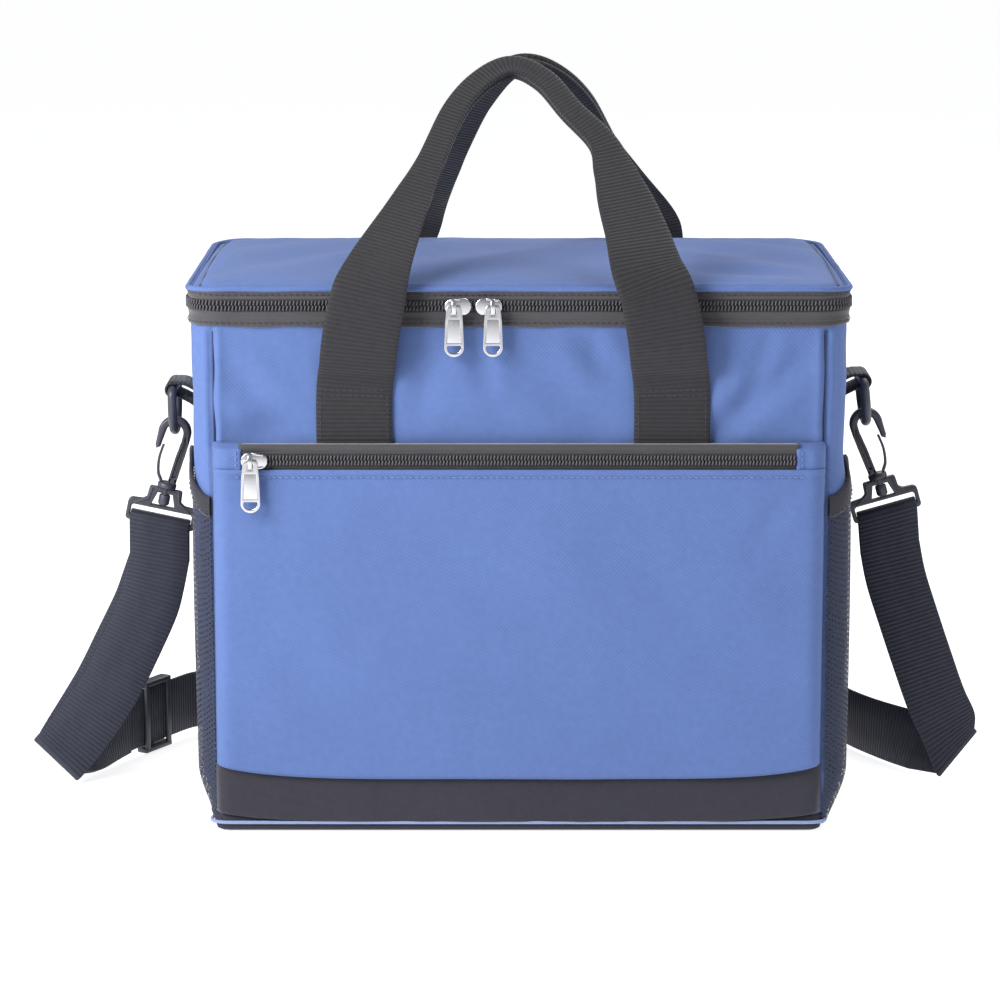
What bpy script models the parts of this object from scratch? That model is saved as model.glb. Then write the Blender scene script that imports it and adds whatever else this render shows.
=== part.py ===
"""Insulated cooler bag with a zipped lid, two carry handles and a clip-on shoulder strap.

Metres. +X is the bag's right seen from the front, +Y runs from front to back, +Z is up.
The origin is the centre of the base, on the surface that the bag stands on.
"""
import math

import bmesh
import bpy
from mathutils import Matrix, Vector

# ---------------------------------------------------------------- driving dimensions
GAP = 0.0003                # clearance between touching pieces
HALF_W = 0.165              # bag body, half width
HALF_D = 0.101              # bag body, half depth
CORNER_R = 0.018            # vertical corner radius
SEAM_ANGLE = 15.0           # how far round a corner the panel seam sits, degrees
PANEL = 0.0015              # outer fabric
FOAM = 0.005                # insulation
LINER = 0.0012              # welded liner
PANEL_BOTTOM = 0.0030
ZIP_Z = 0.2714              # where lid and body meet
LID_EDGE = 0.0092           # height of the lid's straight rim
LID_CROWN = 0.0170          # height of the lid's middle over its rim's bottom
BASE_T = 0.0025
POCKET_FRONT = -0.1080      # outer face of the front pocket
POCKET_LOW = 0.0300
POCKET_ZIP_Z = 0.1945
POCKET_HALF_W = 0.1495
SIDE_POCKET_TOP = 0.1790
SIDE_POCKET_ROOM = 0.0041   # how far a side pocket stands off the bag's side
WEBBING = 0.038             # handle webbing width
HANDLE_X = -0.0029          # the handles sit a little to the left
HANDLE_SPREAD = 0.0794      # sewn end to handle centre
HANDLE_PIVOT = (0.1083, 0.2415)   # distance from the middle and height of the handles' fold line
STRAP_W = 0.032
STRAP_T = 0.0015
TAB_W = 0.025
RING_R = 0.0024
SIDES = {
    "left": {"sign": -1, "lift": 0.0, "ring_tilt": 0.0, "hook_tilt": 12.0},
    "right": {"sign": 1, "lift": 0.0045, "ring_tilt": 6.0, "hook_tilt": 16.0},
}

for old in list(bpy.data.objects):
    bpy.data.objects.remove(old, do_unlink=True)
parts = bpy.data.collections.new("insulated_cooler_bag")
cutters = bpy.data.collections.new("cutters")
bpy.context.scene.collection.children.link(parts)
bpy.context.scene.collection.children.link(cutters)


# ---------------------------------------------------------------- materials
def material(name, colour, roughness, metallic=0.0):
    made = bpy.data.materials.new(name)
    made.use_nodes = True
    shader = made.node_tree.nodes["Principled BSDF"]
    shader.inputs["Base Color"].default_value = (*colour, 1.0)
    shader.inputs["Roughness"].default_value = roughness
    shader.inputs["Metallic"].default_value = metallic
    return made


BLUE = material("blue_twill", (0.16, 0.25, 0.56), 0.85)
PALE = material("pale_piping", (0.36, 0.45, 0.72), 0.8)
BLACK = material("black_twill", (0.05, 0.05, 0.065), 0.9)
MESH = material("black_mesh", (0.06, 0.07, 0.11), 0.9)
WEB = material("black_webbing", (0.03, 0.03, 0.036), 0.85)
TAPE = material("zip_tape", (0.04, 0.042, 0.06), 0.85)
TEETH = material("zip_teeth", (0.03, 0.03, 0.04), 0.5)
STEEL = material("nickel", (0.75, 0.75, 0.77), 0.25, 1.0)
PLASTIC = material("black_plastic", (0.04, 0.042, 0.055), 0.45)
WHITE_FOAM = material("foam", (0.85, 0.85, 0.84), 0.95)
FOIL = material("foil_liner", (0.7, 0.71, 0.73), 0.35, 0.6)


# ---------------------------------------------------------------- building helpers
def keep(obj, name, finish):
    """Names an object, gives it its material and puts it in the bag's collection."""
    obj.name = name
    obj.data.name = name
    obj.data.materials.clear()
    obj.data.materials.append(finish)
    for holder in list(obj.users_collection):
        holder.objects.unlink(obj)
    parts.objects.link(obj)
    return obj


def from_bmesh(name, bm, finish):
    bmesh.ops.recalc_face_normals(bm, faces=bm.faces)
    mesh = bpy.data.meshes.new(name)
    bm.to_mesh(mesh)
    bm.free()
    obj = bpy.data.objects.new(name, mesh)
    bpy.context.scene.collection.objects.link(obj)
    return keep(obj, name, finish)


def add_box(bm, low, high):
    """A box between two corners, added to a bmesh."""
    size = Vector(high) - Vector(low)
    centre = (Vector(high) + Vector(low)) / 2
    place = Matrix.Translation(centre) @ Matrix.Diagonal((*size, 1.0))
    return bmesh.ops.create_cube(bm, size=1.0, matrix=place)["verts"]


def boxes(name, corners, finish):
    """One object of separate boxes, each given as (low corner, high corner)."""
    bm = bmesh.new()
    for low, high in corners:
        add_box(bm, low, high)
    return from_bmesh(name, bm, finish)


def add_outline(bm, points, low, high, place=None):
    """A flat outline pushed up from height low to height high; place turns and moves the result."""
    face = bm.faces.new([bm.verts.new((x, y, low)) for x, y in points])
    pushed = bmesh.ops.extrude_face_region(bm, geom=[face])["geom"]
    verts = [v for v in pushed if isinstance(v, bmesh.types.BMVert)]
    bmesh.ops.translate(bm, verts=verts, vec=(0, 0, high - low))
    if place is not None:
        bmesh.ops.transform(bm, matrix=place, verts=list(face.verts) + verts)


def outline(name, points, low, high, finish, place=None):
    bm = bmesh.new()
    add_outline(bm, points, low, high, place)
    return from_bmesh(name, bm, finish)


def union(obj, others):
    """Joins others into obj with exact Boolean unions."""
    for other in others:
        step = obj.modifiers.new("join", "BOOLEAN")
        step.operation = "UNION"
        step.solver = "EXACT"
        step.object = other
        as_cutter(other)
    return obj


def as_cutter(obj):
    for holder in list(obj.users_collection):
        holder.objects.unlink(obj)
    cutters.objects.link(obj)
    obj.hide_render = True
    obj.display_type = "WIRE"
    return obj


def cut(obj, tool):
    step = obj.modifiers.new("cut", "BOOLEAN")
    step.operation = "DIFFERENCE"
    step.solver = "EXACT"
    step.object = as_cutter(tool)
    return obj


def round_edges(obj, width, segments=2):
    step = obj.modifiers.new("round", "BEVEL")
    step.width = width
    step.segments = segments
    step.limit_method = "ANGLE"
    step.angle_limit = math.radians(40)
    return obj


def arc(centre, radius, start, end, steps):
    """Points along an arc, angles in degrees, both ends included."""
    angles = [math.radians(start + (end - start) * i / steps) for i in range(steps + 1)]
    return [(centre[0] + radius * math.cos(a), centre[1] + radius * math.sin(a)) for a in angles]


def catmull(points, steps):
    """A smooth curve through points, with steps pieces between each two."""
    padded = [2 * points[0] - points[1], *points, 2 * points[-1] - points[-2]]
    out = []
    for a, b, c, d in zip(padded, padded[1:], padded[2:], padded[3:]):
        for i in range(steps):
            t = i / steps
            out.append(0.5 * (2 * b + (c - a) * t + (2 * a - 5 * b + 4 * c - d) * t * t
                              + (3 * b - a - 3 * c + d) * t ** 3))
    return [*out, points[-1]]


# ---------------------------------------------------------------- the bag's plan outline
def corner(sign_x, sign_y, angle, out):
    """A point on a vertical corner, angle degrees round from the front or back face to the side."""
    a = math.radians(angle)
    radius = CORNER_R + out
    x = HALF_W - CORNER_R + radius * math.sin(a)
    y = HALF_D - CORNER_R + radius * math.cos(a)
    return (sign_x * x, sign_y * y)


def ring_points(out, steps=6):
    """The whole rounded outline, moved outwards by out."""
    points = []
    for sign_x, sign_y, turn in ((-1, -1, 1), (-1, 1, -1), (1, 1, 1), (1, -1, -1)):
        angles = [90 * i / steps for i in range(steps + 1)][::turn]
        points += [corner(sign_x, sign_y, a, out) for a in angles]
    return points


def face_path(sign_y, out, slack):
    """Seam to seam across the front (sign_y -1) or the back."""
    angles = [SEAM_ANGLE - slack, SEAM_ANGLE / 2, 0]
    return ([corner(-1, sign_y, a, out) for a in angles]
            + [corner(1, sign_y, a, out) for a in angles[::-1]])


def side_path(sign_x, out, slack, room=0.0):
    """Seam to seam round one side. room is extra distance that grows from the seams to the flat side."""
    angles = [SEAM_ANGLE + slack, 30, 45, 60, 75, 90]
    points = []
    for sign_y, turn in ((-1, 1), (1, -1)):
        for a in angles[::turn]:
            share = (a - angles[0]) / (90 - angles[0])
            points.append(corner(sign_x, sign_y, a, out + room * math.sin(share * math.pi / 2)))
    return points


def zip_path(out, end_y):
    """Round three sides of the bag, for the main zip: it ends on both sides near the back."""
    left = [corner(-1, -1, a, out) for a in (90, 75, 60, 45, 30, 15, 0)]
    right = [(-x, y) for x, y in left[::-1]]
    return [(left[0][0], end_y), *left, *right, (right[-1][0], end_y)]


def wall(name, path, outwards, thickness, low, high, finish):
    """A strip of fabric or foam: path(out) gives its plan line at a distance out from the bag's outline."""
    outer = path(outwards)
    inner = path(outwards - thickness)
    return outline(name, [*outer, *inner[::-1]], low, high, finish)


SLACK = math.degrees(GAP / 2 / CORNER_R)
BODY_TOP = ZIP_Z - GAP / 2
LID_LOW = ZIP_Z + GAP / 2


# ---------------------------------------------------------------- body panels, foam and liner
def body_panels():
    wall("front_panel", lambda out: face_path(-1, out, SLACK), 0, PANEL, PANEL_BOTTOM, BODY_TOP, BLUE)
    wall("back_panel", lambda out: face_path(1, out, SLACK), 0, PANEL, PANEL_BOTTOM, BODY_TOP, BLUE)
    for side, facts in SIDES.items():
        sign = facts["sign"]
        wall(f"{side}_side_panel", lambda out: side_path(sign, out, SLACK), 0, PANEL,
             PANEL_BOTTOM, BODY_TOP, BLUE)


def base():
    foot = SIDE_POCKET_ROOM - GAP
    points = [(x * (HALF_W + foot) / HALF_W, y) for x, y in ring_points(0)]
    outline("base_panel", points, 0.0, BASE_T, BLACK)
    line = bpy.data.curves.new("base_piping", "CURVE")
    line.dimensions = "3D"
    line.bevel_depth = 0.0011
    line.bevel_resolution = 1
    spline = line.splines.new("POLY")
    around = [(x * (HALF_W + foot) / HALF_W, y) for x, y in ring_points(0.0011 + GAP, 5)]
    spline.points.add(len(around) - 1)
    for point, (x, y) in zip(spline.points, around):
        point.co = (x * 1.002, y * 1.002, 0.0014, 1)
    spline.use_cyclic_u = True
    piping = bpy.data.objects.new("base_piping", line)
    bpy.context.scene.collection.objects.link(piping)
    keep(piping, "base_piping", PALE)


def insulation():
    inset = PANEL + GAP
    flat_x = HALF_W - CORNER_R
    flat_y = HALF_D - CORNER_R
    low = BASE_T + GAP + FOAM + GAP
    top = BODY_TOP - 0.0006
    for name, sign in (("front_foam", -1), ("back_foam", 1)):
        near, far = sorted((sign * (HALF_D - inset), sign * (HALF_D - inset - FOAM)))
        boxes(name, [((-flat_x, near, low), (flat_x, far, top))], WHITE_FOAM)
    for name, sign in (("left_foam", -1), ("right_foam", 1)):
        near, far = sorted((sign * (HALF_W - inset), sign * (HALF_W - inset - FOAM)))
        boxes(name, [((near, -flat_y, low), (far, flat_y, top))], WHITE_FOAM)
    outline("base_foam", ring_points(-PANEL - GAP, 3), BASE_T + GAP, BASE_T + GAP + FOAM, WHITE_FOAM)


def liner():
    """A welded tub, open at the top."""
    out = -(PANEL + FOAM + 2 * GAP)
    low = BASE_T + FOAM + 2 * GAP
    top = BODY_TOP - 0.0004
    tub = outline("liner", ring_points(out, 4), low, top, FOIL)
    hollow = outline("liner_hollow", ring_points(out - LINER, 4), low + LINER, top + 0.01, FOIL)
    cut(tub, hollow)


# ---------------------------------------------------------------- front pocket
def front_pocket():
    back = -HALF_D - GAP
    rim = 0.0012
    bm = bmesh.new()
    half = POCKET_HALF_W
    top = POCKET_ZIP_Z - 0.0072
    add_box(bm, (-half, POCKET_FRONT, POCKET_LOW), (half, back, top))
    tray = from_bmesh("front_pocket", bm, BLUE)
    hollow = boxes("pocket_hollow", [((-half + rim, POCKET_FRONT + PANEL, POCKET_LOW + rim),
                                      (half - rim, 0, top + 0.01))], BLUE)
    cut(tray, hollow)
    band_top = POCKET_LOW - GAP
    boxes("lower_front_band", [((-half, back - 0.0015, PANEL_BOTTOM), (half, back, band_top))], BLACK)


def pocket_zip():
    """Two tapes with their teeth; the upper tape turns back to the front panel and closes the pocket's top."""
    back = -HALF_D - GAP
    face = POCKET_FRONT
    half = POCKET_HALF_W - 0.0100
    low = POCKET_ZIP_Z - 0.0070
    high = POCKET_ZIP_Z + 0.0075
    mid = GAP / 2
    boxes("pocket_zip_lower_tape", [((-half, face, low), (half, face + 0.0010, POCKET_ZIP_Z - mid))], TAPE)
    upper = [(face, POCKET_ZIP_Z + mid), (face, high), (back, high), (back, high - 0.0012),
             (face + 0.0012, high - 0.0012), (face + 0.0012, POCKET_ZIP_Z + mid)]
    stand = Matrix(((0, 0, 1, 0), (1, 0, 0, 0), (0, 1, 0, 0), (0, 0, 0, 1)))
    outline("pocket_zip_upper_tape", upper, -half, half, TAPE, stand)
    teeth = face - GAP
    for row, bottom, top in (("lower", -0.0026, -mid), ("upper", mid, 0.0026)):
        boxes(f"pocket_zip_{row}_teeth",
              [((-half, teeth - 0.0014, POCKET_ZIP_Z + bottom), (half, teeth, POCKET_ZIP_Z + top))], TEETH)
    for side, facts in SIDES.items():
        near, far = sorted((facts["sign"] * (half + GAP), facts["sign"] * POCKET_HALF_W))
        boxes(f"{side}_pocket_end_tab", [((near, face, low), (far, back, high))], BLUE)


# ---------------------------------------------------------------- mesh side pockets
def side_pockets():
    """Elastic mesh, wrapped round each side from seam to seam, with a bound top edge."""
    bind_low = SIDE_POCKET_TOP - 0.0112
    for side, facts in SIDES.items():
        sign = facts["sign"]
        room = SIDE_POCKET_ROOM
        wall(f"{side}_mesh_pocket",
             lambda out: side_path(sign, out, SLACK, room), GAP + 0.0010, 0.0010,
             PANEL_BOTTOM, bind_low - GAP, MESH)
        wall(f"{side}_pocket_binding",
             lambda out: side_path(sign, out, SLACK, room), GAP + 0.0016, 0.0016,
             bind_low, SIDE_POCKET_TOP, BLACK)


# ---------------------------------------------------------------- lid
def lid():
    """A shallow fabric pan with a crowned top, over a foam board and a lining board."""
    rings = ((0.0, 0.0), (0.0, LID_EDGE - 0.0012), (-0.0022, LID_EDGE), (-0.022, LID_EDGE + 0.0045),
             (-0.055, LID_CROWN - 0.0010), (-0.085, LID_CROWN))
    bm = bmesh.new()
    loops = []
    for inset, height in rings:
        share_x = (HALF_W + inset) / HALF_W
        share_y = (HALF_D + inset) / HALF_D
        points = [(x * share_x, y * share_y) for x, y in ring_points(0, 4)]
        loops.append([bm.verts.new((x, y, LID_LOW + height)) for x, y in points])
    for lower, upper in zip(loops, loops[1:]):
        for i in range(len(lower)):
            j = (i + 1) % len(lower)
            bm.faces.new((lower[i], lower[j], upper[j], upper[i]))
    bm.faces.new(loops[-1])
    cover = from_bmesh("lid_cover", bm, BLUE)
    shell = cover.modifiers.new("thickness", "SOLIDIFY")
    shell.thickness = PANEL
    shell.offset = -1
    shell.use_even_offset = True
    inset = -(PANEL + GAP)
    outline("lid_foam", ring_points(inset, 4), LID_LOW + 0.0012, LID_LOW + 0.0012 + FOAM, WHITE_FOAM)
    outline("lid_lining", ring_points(inset, 4), LID_LOW, LID_LOW + 0.0009, FOIL)


def lid_piping():
    """The piped seam where the lid's top is sewn to its rim."""
    line = bpy.data.curves.new("lid_piping", "CURVE")
    line.dimensions = "3D"
    line.bevel_depth = 0.0011
    line.bevel_resolution = 1
    spline = line.splines.new("POLY")
    around = ring_points(0.0011 + GAP, 5)
    spline.points.add(len(around) - 1)
    for point, (x, y) in zip(spline.points, around):
        point.co = (x, y, LID_LOW + LID_EDGE + 0.0006, 1)
    spline.use_cyclic_u = True
    piping = bpy.data.objects.new("lid_piping", line)
    bpy.context.scene.collection.objects.link(piping)
    keep(piping, "lid_piping", BLUE)


# ---------------------------------------------------------------- main zip
def main_zip():
    end_y = HALF_D - CORNER_R - 0.004
    tape = 0.0010
    tooth = 0.0013
    rows = (
        ("body_zip_tape", tape + GAP, tape, BODY_TOP - 0.0098, BODY_TOP, TAPE),
        ("lid_zip_tape", tape + GAP, tape, LID_LOW, LID_LOW + 0.0075, TAPE),
        ("body_zip_teeth", tape + tooth + 2 * GAP, tooth, BODY_TOP - 0.0026, BODY_TOP, TEETH),
        ("lid_zip_teeth", tape + tooth + 2 * GAP, tooth, LID_LOW, LID_LOW + 0.0026, TEETH),
    )
    for name, out, thickness, low, high, finish in rows:
        wall(name, lambda d: zip_path(d, end_y), out, thickness, low, high, finish)


# ---------------------------------------------------------------- sliders and pullers
SLIDER_L = 0.0130
SLIDER_H = 0.0090
SLIDER_T = 0.0022
BRIDGE_ROOM = 0.0022        # between the slider's face and its bridge
BRIDGE_T = 0.0011
PULL_W = 0.0092
PULL_T = 0.0013
PULL_BAR = 0.0007           # half height of the puller's top bar


def slider(name, x, z, back, heading):
    """A zip slider: a body over the teeth, with a bridge that the puller's top bar is caught under.

    back is the y of its rear face, and heading is +1 if its flat end faces +X."""
    long, high = SLIDER_L / 2, SLIDER_H / 2
    nose = [(-long, -high * 0.55), (-long, high * 0.55), (-long * 0.45, high), (long, high * 0.8),
            (long, -high * 0.8), (-long * 0.45, -high)]
    stand = Matrix(((heading, 0, 0, x), (0, 0, -1, back), (0, 1, 0, z), (0, 0, 0, 1)))
    body = outline(name, nose, 0, SLIDER_T, STEEL, stand)
    face = back - SLIDER_T
    reach = 0.0043
    bm = bmesh.new()
    post = 0.0012
    for sign in (-1, 1):
        low, high = sorted((sign * (reach - post), sign * reach))
        add_box(bm, (x - 0.0011, face - BRIDGE_ROOM - BRIDGE_T, z + low),
                (x + 0.0011, face + 0.0006, z + high))
    posts = from_bmesh(name + "_posts", bm, STEEL)
    bar = boxes(name + "_bar", [((x - 0.0011, face - BRIDGE_ROOM - BRIDGE_T, z - reach + 0.0002),
                                 (x + 0.0011, face - BRIDGE_ROOM, z + reach - 0.0002))], STEEL)
    union(posts, [bar])
    union(body, [posts])
    return body


def puller(name, x, z, back, length):
    """A flat pull tab that hangs from its top bar; its origin is on that bar."""
    axis_y = back - SLIDER_T - BRIDGE_ROOM / 2
    half = PULL_W / 2
    tip = -length + half
    edge = [(-0.0034, PULL_BAR), (-0.0040, -0.006), *arc((0, tip), half, 180, 360, 8),
            (0.0040, -0.006), (0.0034, PULL_BAR)]
    bm = bmesh.new()
    stand = Matrix(((1, 0, 0, 0), (0, 0, -1, PULL_T / 2), (0, 1, 0, 0), (0, 0, 0, 1)))
    add_outline(bm, edge, 0, PULL_T, stand)
    tab = from_bmesh(name, bm, STEEL)
    window = boxes(name + "_window", [((-0.0021, -0.01, -0.0068), (0.0021, 0.01, -PULL_BAR))], STEEL)
    hole = outline(name + "_hole", arc((0, tip), half - 0.0013, 180, 360, 6), -0.01, 0.01, STEEL,
                   Matrix(((1, 0, 0, 0), (0, 0, -1, 0), (0, 1, 0, 0), (0, 0, 0, 1))))
    for tool in (window, hole):
        tool.parent = tab
        cut(tab, tool)
    tab.location = (x, axis_y, z)
    return tab


def sliders():
    main_back = -(HALF_D + 0.0010 + 0.0013 + 3 * GAP)
    places = (
        ("main_slider_left", "main_puller_left", -0.0305, ZIP_Z, main_back, -1, 0.0240),
        ("main_slider_right", "main_puller_right", -0.0150, ZIP_Z, main_back, 1, 0.0240),
        ("pocket_slider", "pocket_puller", -0.1320, POCKET_ZIP_Z, POCKET_FRONT - 0.0014 - 2 * GAP, 1,
         0.0260),
    )
    for body, tab, x, z, back, heading, length in places:
        slider(body, x, z, back, heading)
        puller(tab, x, z, back, length)


# ---------------------------------------------------------------- carry handles
# Seen from the side: (distance in front of the bag's middle, height), from the fold line up to the grip.
HANDLE_SIDE = (HANDLE_PIVOT, (0.1108, 0.2450), (0.1130, 0.2515), (0.1142, 0.2600), (0.1140, 0.2730),
               (0.1102, 0.2845), (0.1005, 0.2965), (0.0840, 0.3115), (0.0560, 0.3370), (0.0300, 0.3625),
               (0.0060, 0.3860))
# Along the webbing: (distance from the handle's middle, height that this stretch of webbing reaches,
# half width, thickness), from the fold line up one leg to the middle of the grip.
HANDLE_LEG = ((0.0775, 0.2415, 0.0190, 0.0018), (0.0756, 0.2570, 0.0190, 0.0018),
              (0.0714, 0.2780, 0.0188, 0.0018), (0.0655, 0.2925, 0.0182, 0.0018),
              (0.0590, 0.3060, 0.0168, 0.0022), (0.0520, 0.3210, 0.0142, 0.0032),
              (0.0455, 0.3370, 0.0104, 0.0046), (0.0385, 0.3500, 0.0080, 0.0056),
              (0.0290, 0.3630, 0.0076, 0.0060), (0.0165, 0.3760, 0.0070, 0.0060),
              (0.0, 0.3820, 0.0064, 0.0060))


def side_profile():
    """The handle's side profile as (distance along it, point), from the fold line upwards."""
    points = catmull([Vector(p) for p in HANDLE_SIDE], 4)
    along = [0.0]
    for a, b in zip(points, points[1:]):
        along.append(along[-1] + (b - a).length)
    return along, points


def on_profile(along, points, s):
    """Point and outward normal of the side profile, s metres along it."""
    s = min(max(s, 0.0), along[-1] - 1e-9)
    i = max(k for k in range(len(along) - 1) if along[k] <= s)
    share = (s - along[i]) / (along[i + 1] - along[i])
    point = points[i].lerp(points[i + 1], share)
    ahead = (points[i + 1] - points[i]).normalized()
    return point, Vector((ahead.y, -ahead.x))


def handle(name, sign_y):
    """A loop of webbing, flat at its two legs and folded narrow and thick at the grip."""
    along, points = side_profile()
    heights = [p.y for p in points]

    def climb(height):
        height = max(height, heights[0])
        i = max(k for k in range(len(heights) - 1) if heights[k] <= height)
        share = (height - heights[i]) / (heights[i + 1] - heights[i])
        return along[i] + share * (along[i + 1] - along[i])

    leg = catmull([Vector((x, climb(z), half, thick)) for x, z, half, thick in HANDLE_LEG], 3)
    whole = [Vector((-p.x, p.y, p.z, p.w)) for p in leg] + leg[-2::-1]
    bm = bmesh.new()
    sections = []
    for i, p in enumerate(whole):
        before, after = whole[max(i - 1, 0)], whole[min(i + 1, len(whole) - 1)]
        ahead = Vector((after.x - before.x, after.y - before.y)).normalized()
        across = Vector((-ahead.y, ahead.x))
        section = []
        for side, face in ((1, 1), (1, -1), (-1, -1), (-1, 1)):
            x, s = p.x + across.x * p.z * side, p.y + across.y * p.z * side
            point, normal = on_profile(along, points, s)
            point = point + normal * (face * p.w / 2)
            section.append(bm.verts.new((HANDLE_X + x, sign_y * point.x, point.y)))
        sections.append(section)
    for one, two in zip(sections, sections[1:]):
        for k in range(4):
            n = (k + 1) % 4
            bm.faces.new((one[k], one[n], two[n], two[k]))
    bm.faces.new(sections[0])
    bm.faces.new(sections[-1][::-1])
    return from_bmesh(name, bm, WEB)


def handles():
    """The two loops, and the sewn ends of webbing that they fold at."""
    half = WEBBING / 2
    near = HALF_D + GAP
    far = near + 0.0020
    for name, sign, low in (("front_handle", -1, POCKET_ZIP_Z + 0.0078), ("back_handle", 1, 0.1270)):
        handle(name, sign)
        edge = [(near, low), (near, 0.2346), (0.1026, 0.2374), (0.1052, 0.2395), (0.1058, 0.2376),
                (0.1041, 0.2362), (far, 0.2340), (far, low)]
        for side, facts in SIDES.items():
            x = HANDLE_X + facts["sign"] * HANDLE_SPREAD
            stand = Matrix(((0, 0, 1, x), (sign, 0, 0, 0), (0, 1, 0, 0), (0, 0, 0, 1)))
            outline(f"{name}_{side}_anchor", edge, -half, half, WEB, stand)


# ---------------------------------------------------------------- strap ends: tab, ring, hook, buckle
LOOP_X = 0.1810             # the tab loop's centre, from the bag's middle
LOOP_Z = 0.2136
RING_DROP = 0.0231          # ring's top bar to its bottom bar
RING_HALF = 0.0166
HOOK_IN, HOOK_OUT = 0.0046, 0.0087
HOOK_T = 0.0060
STEM_X = 0.0013             # the swivel's axis, in the hook's own frame
COLLAR_Z = -0.0275
SWIVEL_R = 0.0021
BAR_Z = -0.0490             # the buckle's lower bar, in the hook's own frame
BAR_R = 0.0016
BUCKLE_T = 0.0019           # half the buckle's thickness


def loop_point(facts):
    return Vector((facts["sign"] * LOOP_X, 0, LOOP_Z + facts["lift"]))


def turned(facts, degrees, centre):
    """A frame at centre, mirrored for the right side, whose lower end leans away from the bag."""
    flip = -facts["sign"]
    lean = Matrix.Rotation(math.radians(degrees), 4, "Y")
    return Matrix.Translation(centre) @ Matrix.Diagonal((flip, 1, 1, 1)) @ lean


def ring_frame(facts):
    return turned(facts, facts["ring_tilt"], loop_point(facts))


def hook_frame(facts):
    """The hook's own frame: its origin is the centre of the hook's arc, its shaft runs down, bag side at +x."""
    bottom = ring_frame(facts) @ Vector((0, 0, -RING_DROP))
    lean = math.radians(facts["hook_tilt"])
    drop = HOOK_IN - RING_R - 2 * GAP
    out = Vector((facts["sign"] * math.sin(lean), 0, -math.cos(lean)))
    return turned(facts, facts["hook_tilt"], bottom + out * drop)


UPRIGHT = Matrix(((1, 0, 0, 0), (0, 0, -1, 0), (0, 1, 0, 0), (0, 0, 0, 1)))


def upright(frame):
    """Stands a flat outline up in a frame's x-z plane, with its thickness along y."""
    return frame @ UPRIGHT


def tab(side, facts):
    """Webbing sewn to the bag's side, turned round the ring's bar."""
    t = 0.0016
    sign = facts["sign"]
    z0 = LOOP_Z + facts["lift"]
    inner = RING_R + 0.0004
    hub = (LOOP_X, z0)
    face = HALF_W + GAP
    outside = [(face, z0 + 0.0036), (LOOP_X - 0.0045, z0 + 0.0045), *arc(hub, inner + t, 100, -120, 10),
               (LOOP_X - 0.0072, z0 - 0.0058), (face + 0.0032, z0 - 0.0088), (face + t, z0 - 0.0140),
               (face + t, SIDE_POCKET_TOP + 0.002), (face, SIDE_POCKET_TOP + 0.002)]
    inside = [(face, z0 - 0.0100), (face + 0.0018, z0 - 0.0065), (LOOP_X - 0.0080, z0 - 0.0035),
              *arc(hub, inner, -130, 110, 10), (LOOP_X - 0.0055, z0 + 0.0026), (face, z0 + 0.0018)]
    points = [(sign * x, z) for x, z in outside + inside]
    outline(f"{side}_tab", points, -TAB_W / 2, TAB_W / 2, WEB, UPRIGHT)


def ring(side, facts):
    """A D-shaped ring: a straight top bar in the tab, and a rounded lower end."""
    line = bpy.data.curves.new(f"{side}_ring", "CURVE")
    line.dimensions = "3D"
    line.bevel_depth = RING_R
    line.bevel_resolution = 2
    spline = line.splines.new("POLY")
    low = [(RING_HALF * math.cos(math.radians(a)), -0.0085 + (RING_DROP - 0.0085) * math.sin(math.radians(a)))
           for a in range(0, -181, -20)]
    outline_points = [(RING_HALF - 0.0020, 0.0), (RING_HALF, -0.0020), *low, (-RING_HALF, -0.0020),
                      (-RING_HALF + 0.0020, 0.0)]
    spline.points.add(len(outline_points) - 1)
    for point, (y, z) in zip(spline.points, outline_points):
        point.co = (0, y, z, 1)
    spline.use_cyclic_u = True
    made = bpy.data.objects.new(f"{side}_ring", line)
    bpy.context.scene.collection.objects.link(made)
    made.matrix_world = ring_frame(facts)
    keep(made, f"{side}_ring", PLASTIC)


def hook(side, facts):
    """A plastic snap hook with its swivel: collar, stem and head."""
    frame = hook_frame(facts)
    foot = COLLAR_Z - 0.0010
    edge = [*arc((0, 0), HOOK_OUT, 185, 0, 12), (0.0075, -0.0100), (0.0054, foot), (0.0014, foot),
            (0.0032, -0.0100), *arc((0, 0), HOOK_IN, 0, 165, 8), (-0.0058, -0.0060), (-0.0058, -0.0088),
            (-0.0080, -0.0102)]
    body = outline(f"{side}_hook", edge, -HOOK_T / 2, HOOK_T / 2, PLASTIC, upright(frame))
    turns = ((0.0050, COLLAR_Z, COLLAR_Z - 0.0026), (SWIVEL_R, COLLAR_Z - 0.0020, COLLAR_Z - 0.0070),
             (0.0030, COLLAR_Z - 0.0064, COLLAR_Z - 0.0120))
    pieces = []
    for n, (radius, high, low) in enumerate(turns):
        bm = bmesh.new()
        place = frame @ Matrix.Translation((STEM_X, 0, (high + low) / 2))
        bmesh.ops.create_cone(bm, cap_ends=True, segments=16, radius1=radius, radius2=radius,
                              depth=high - low, matrix=place)
        pieces.append(from_bmesh(f"{side}_swivel_{n}", bm, PLASTIC))
    union(body, pieces)


def gate(side, facts):
    """The hook's springy tongue, from the collar up to the inside of the nose."""
    line = [Vector(p) for p in ((-0.0022, COLLAR_Z + GAP), (-0.0046, -0.0225), (-0.0055, -0.0150),
                                (-0.0046, -0.0076))]
    path = catmull(line, 3)
    left, right = [], []
    for i, p in enumerate(path):
        ahead = (path[min(i + 1, len(path) - 1)] - path[max(i - 1, 0)]).normalized()
        across = Vector((-ahead.y, ahead.x)) * 0.0006
        left.append(tuple(p + across))
        right.append(tuple(p - across))
    outline(f"{side}_gate", left + right[::-1], -0.0020, 0.0020, PLASTIC, upright(hook_frame(facts)))


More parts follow.
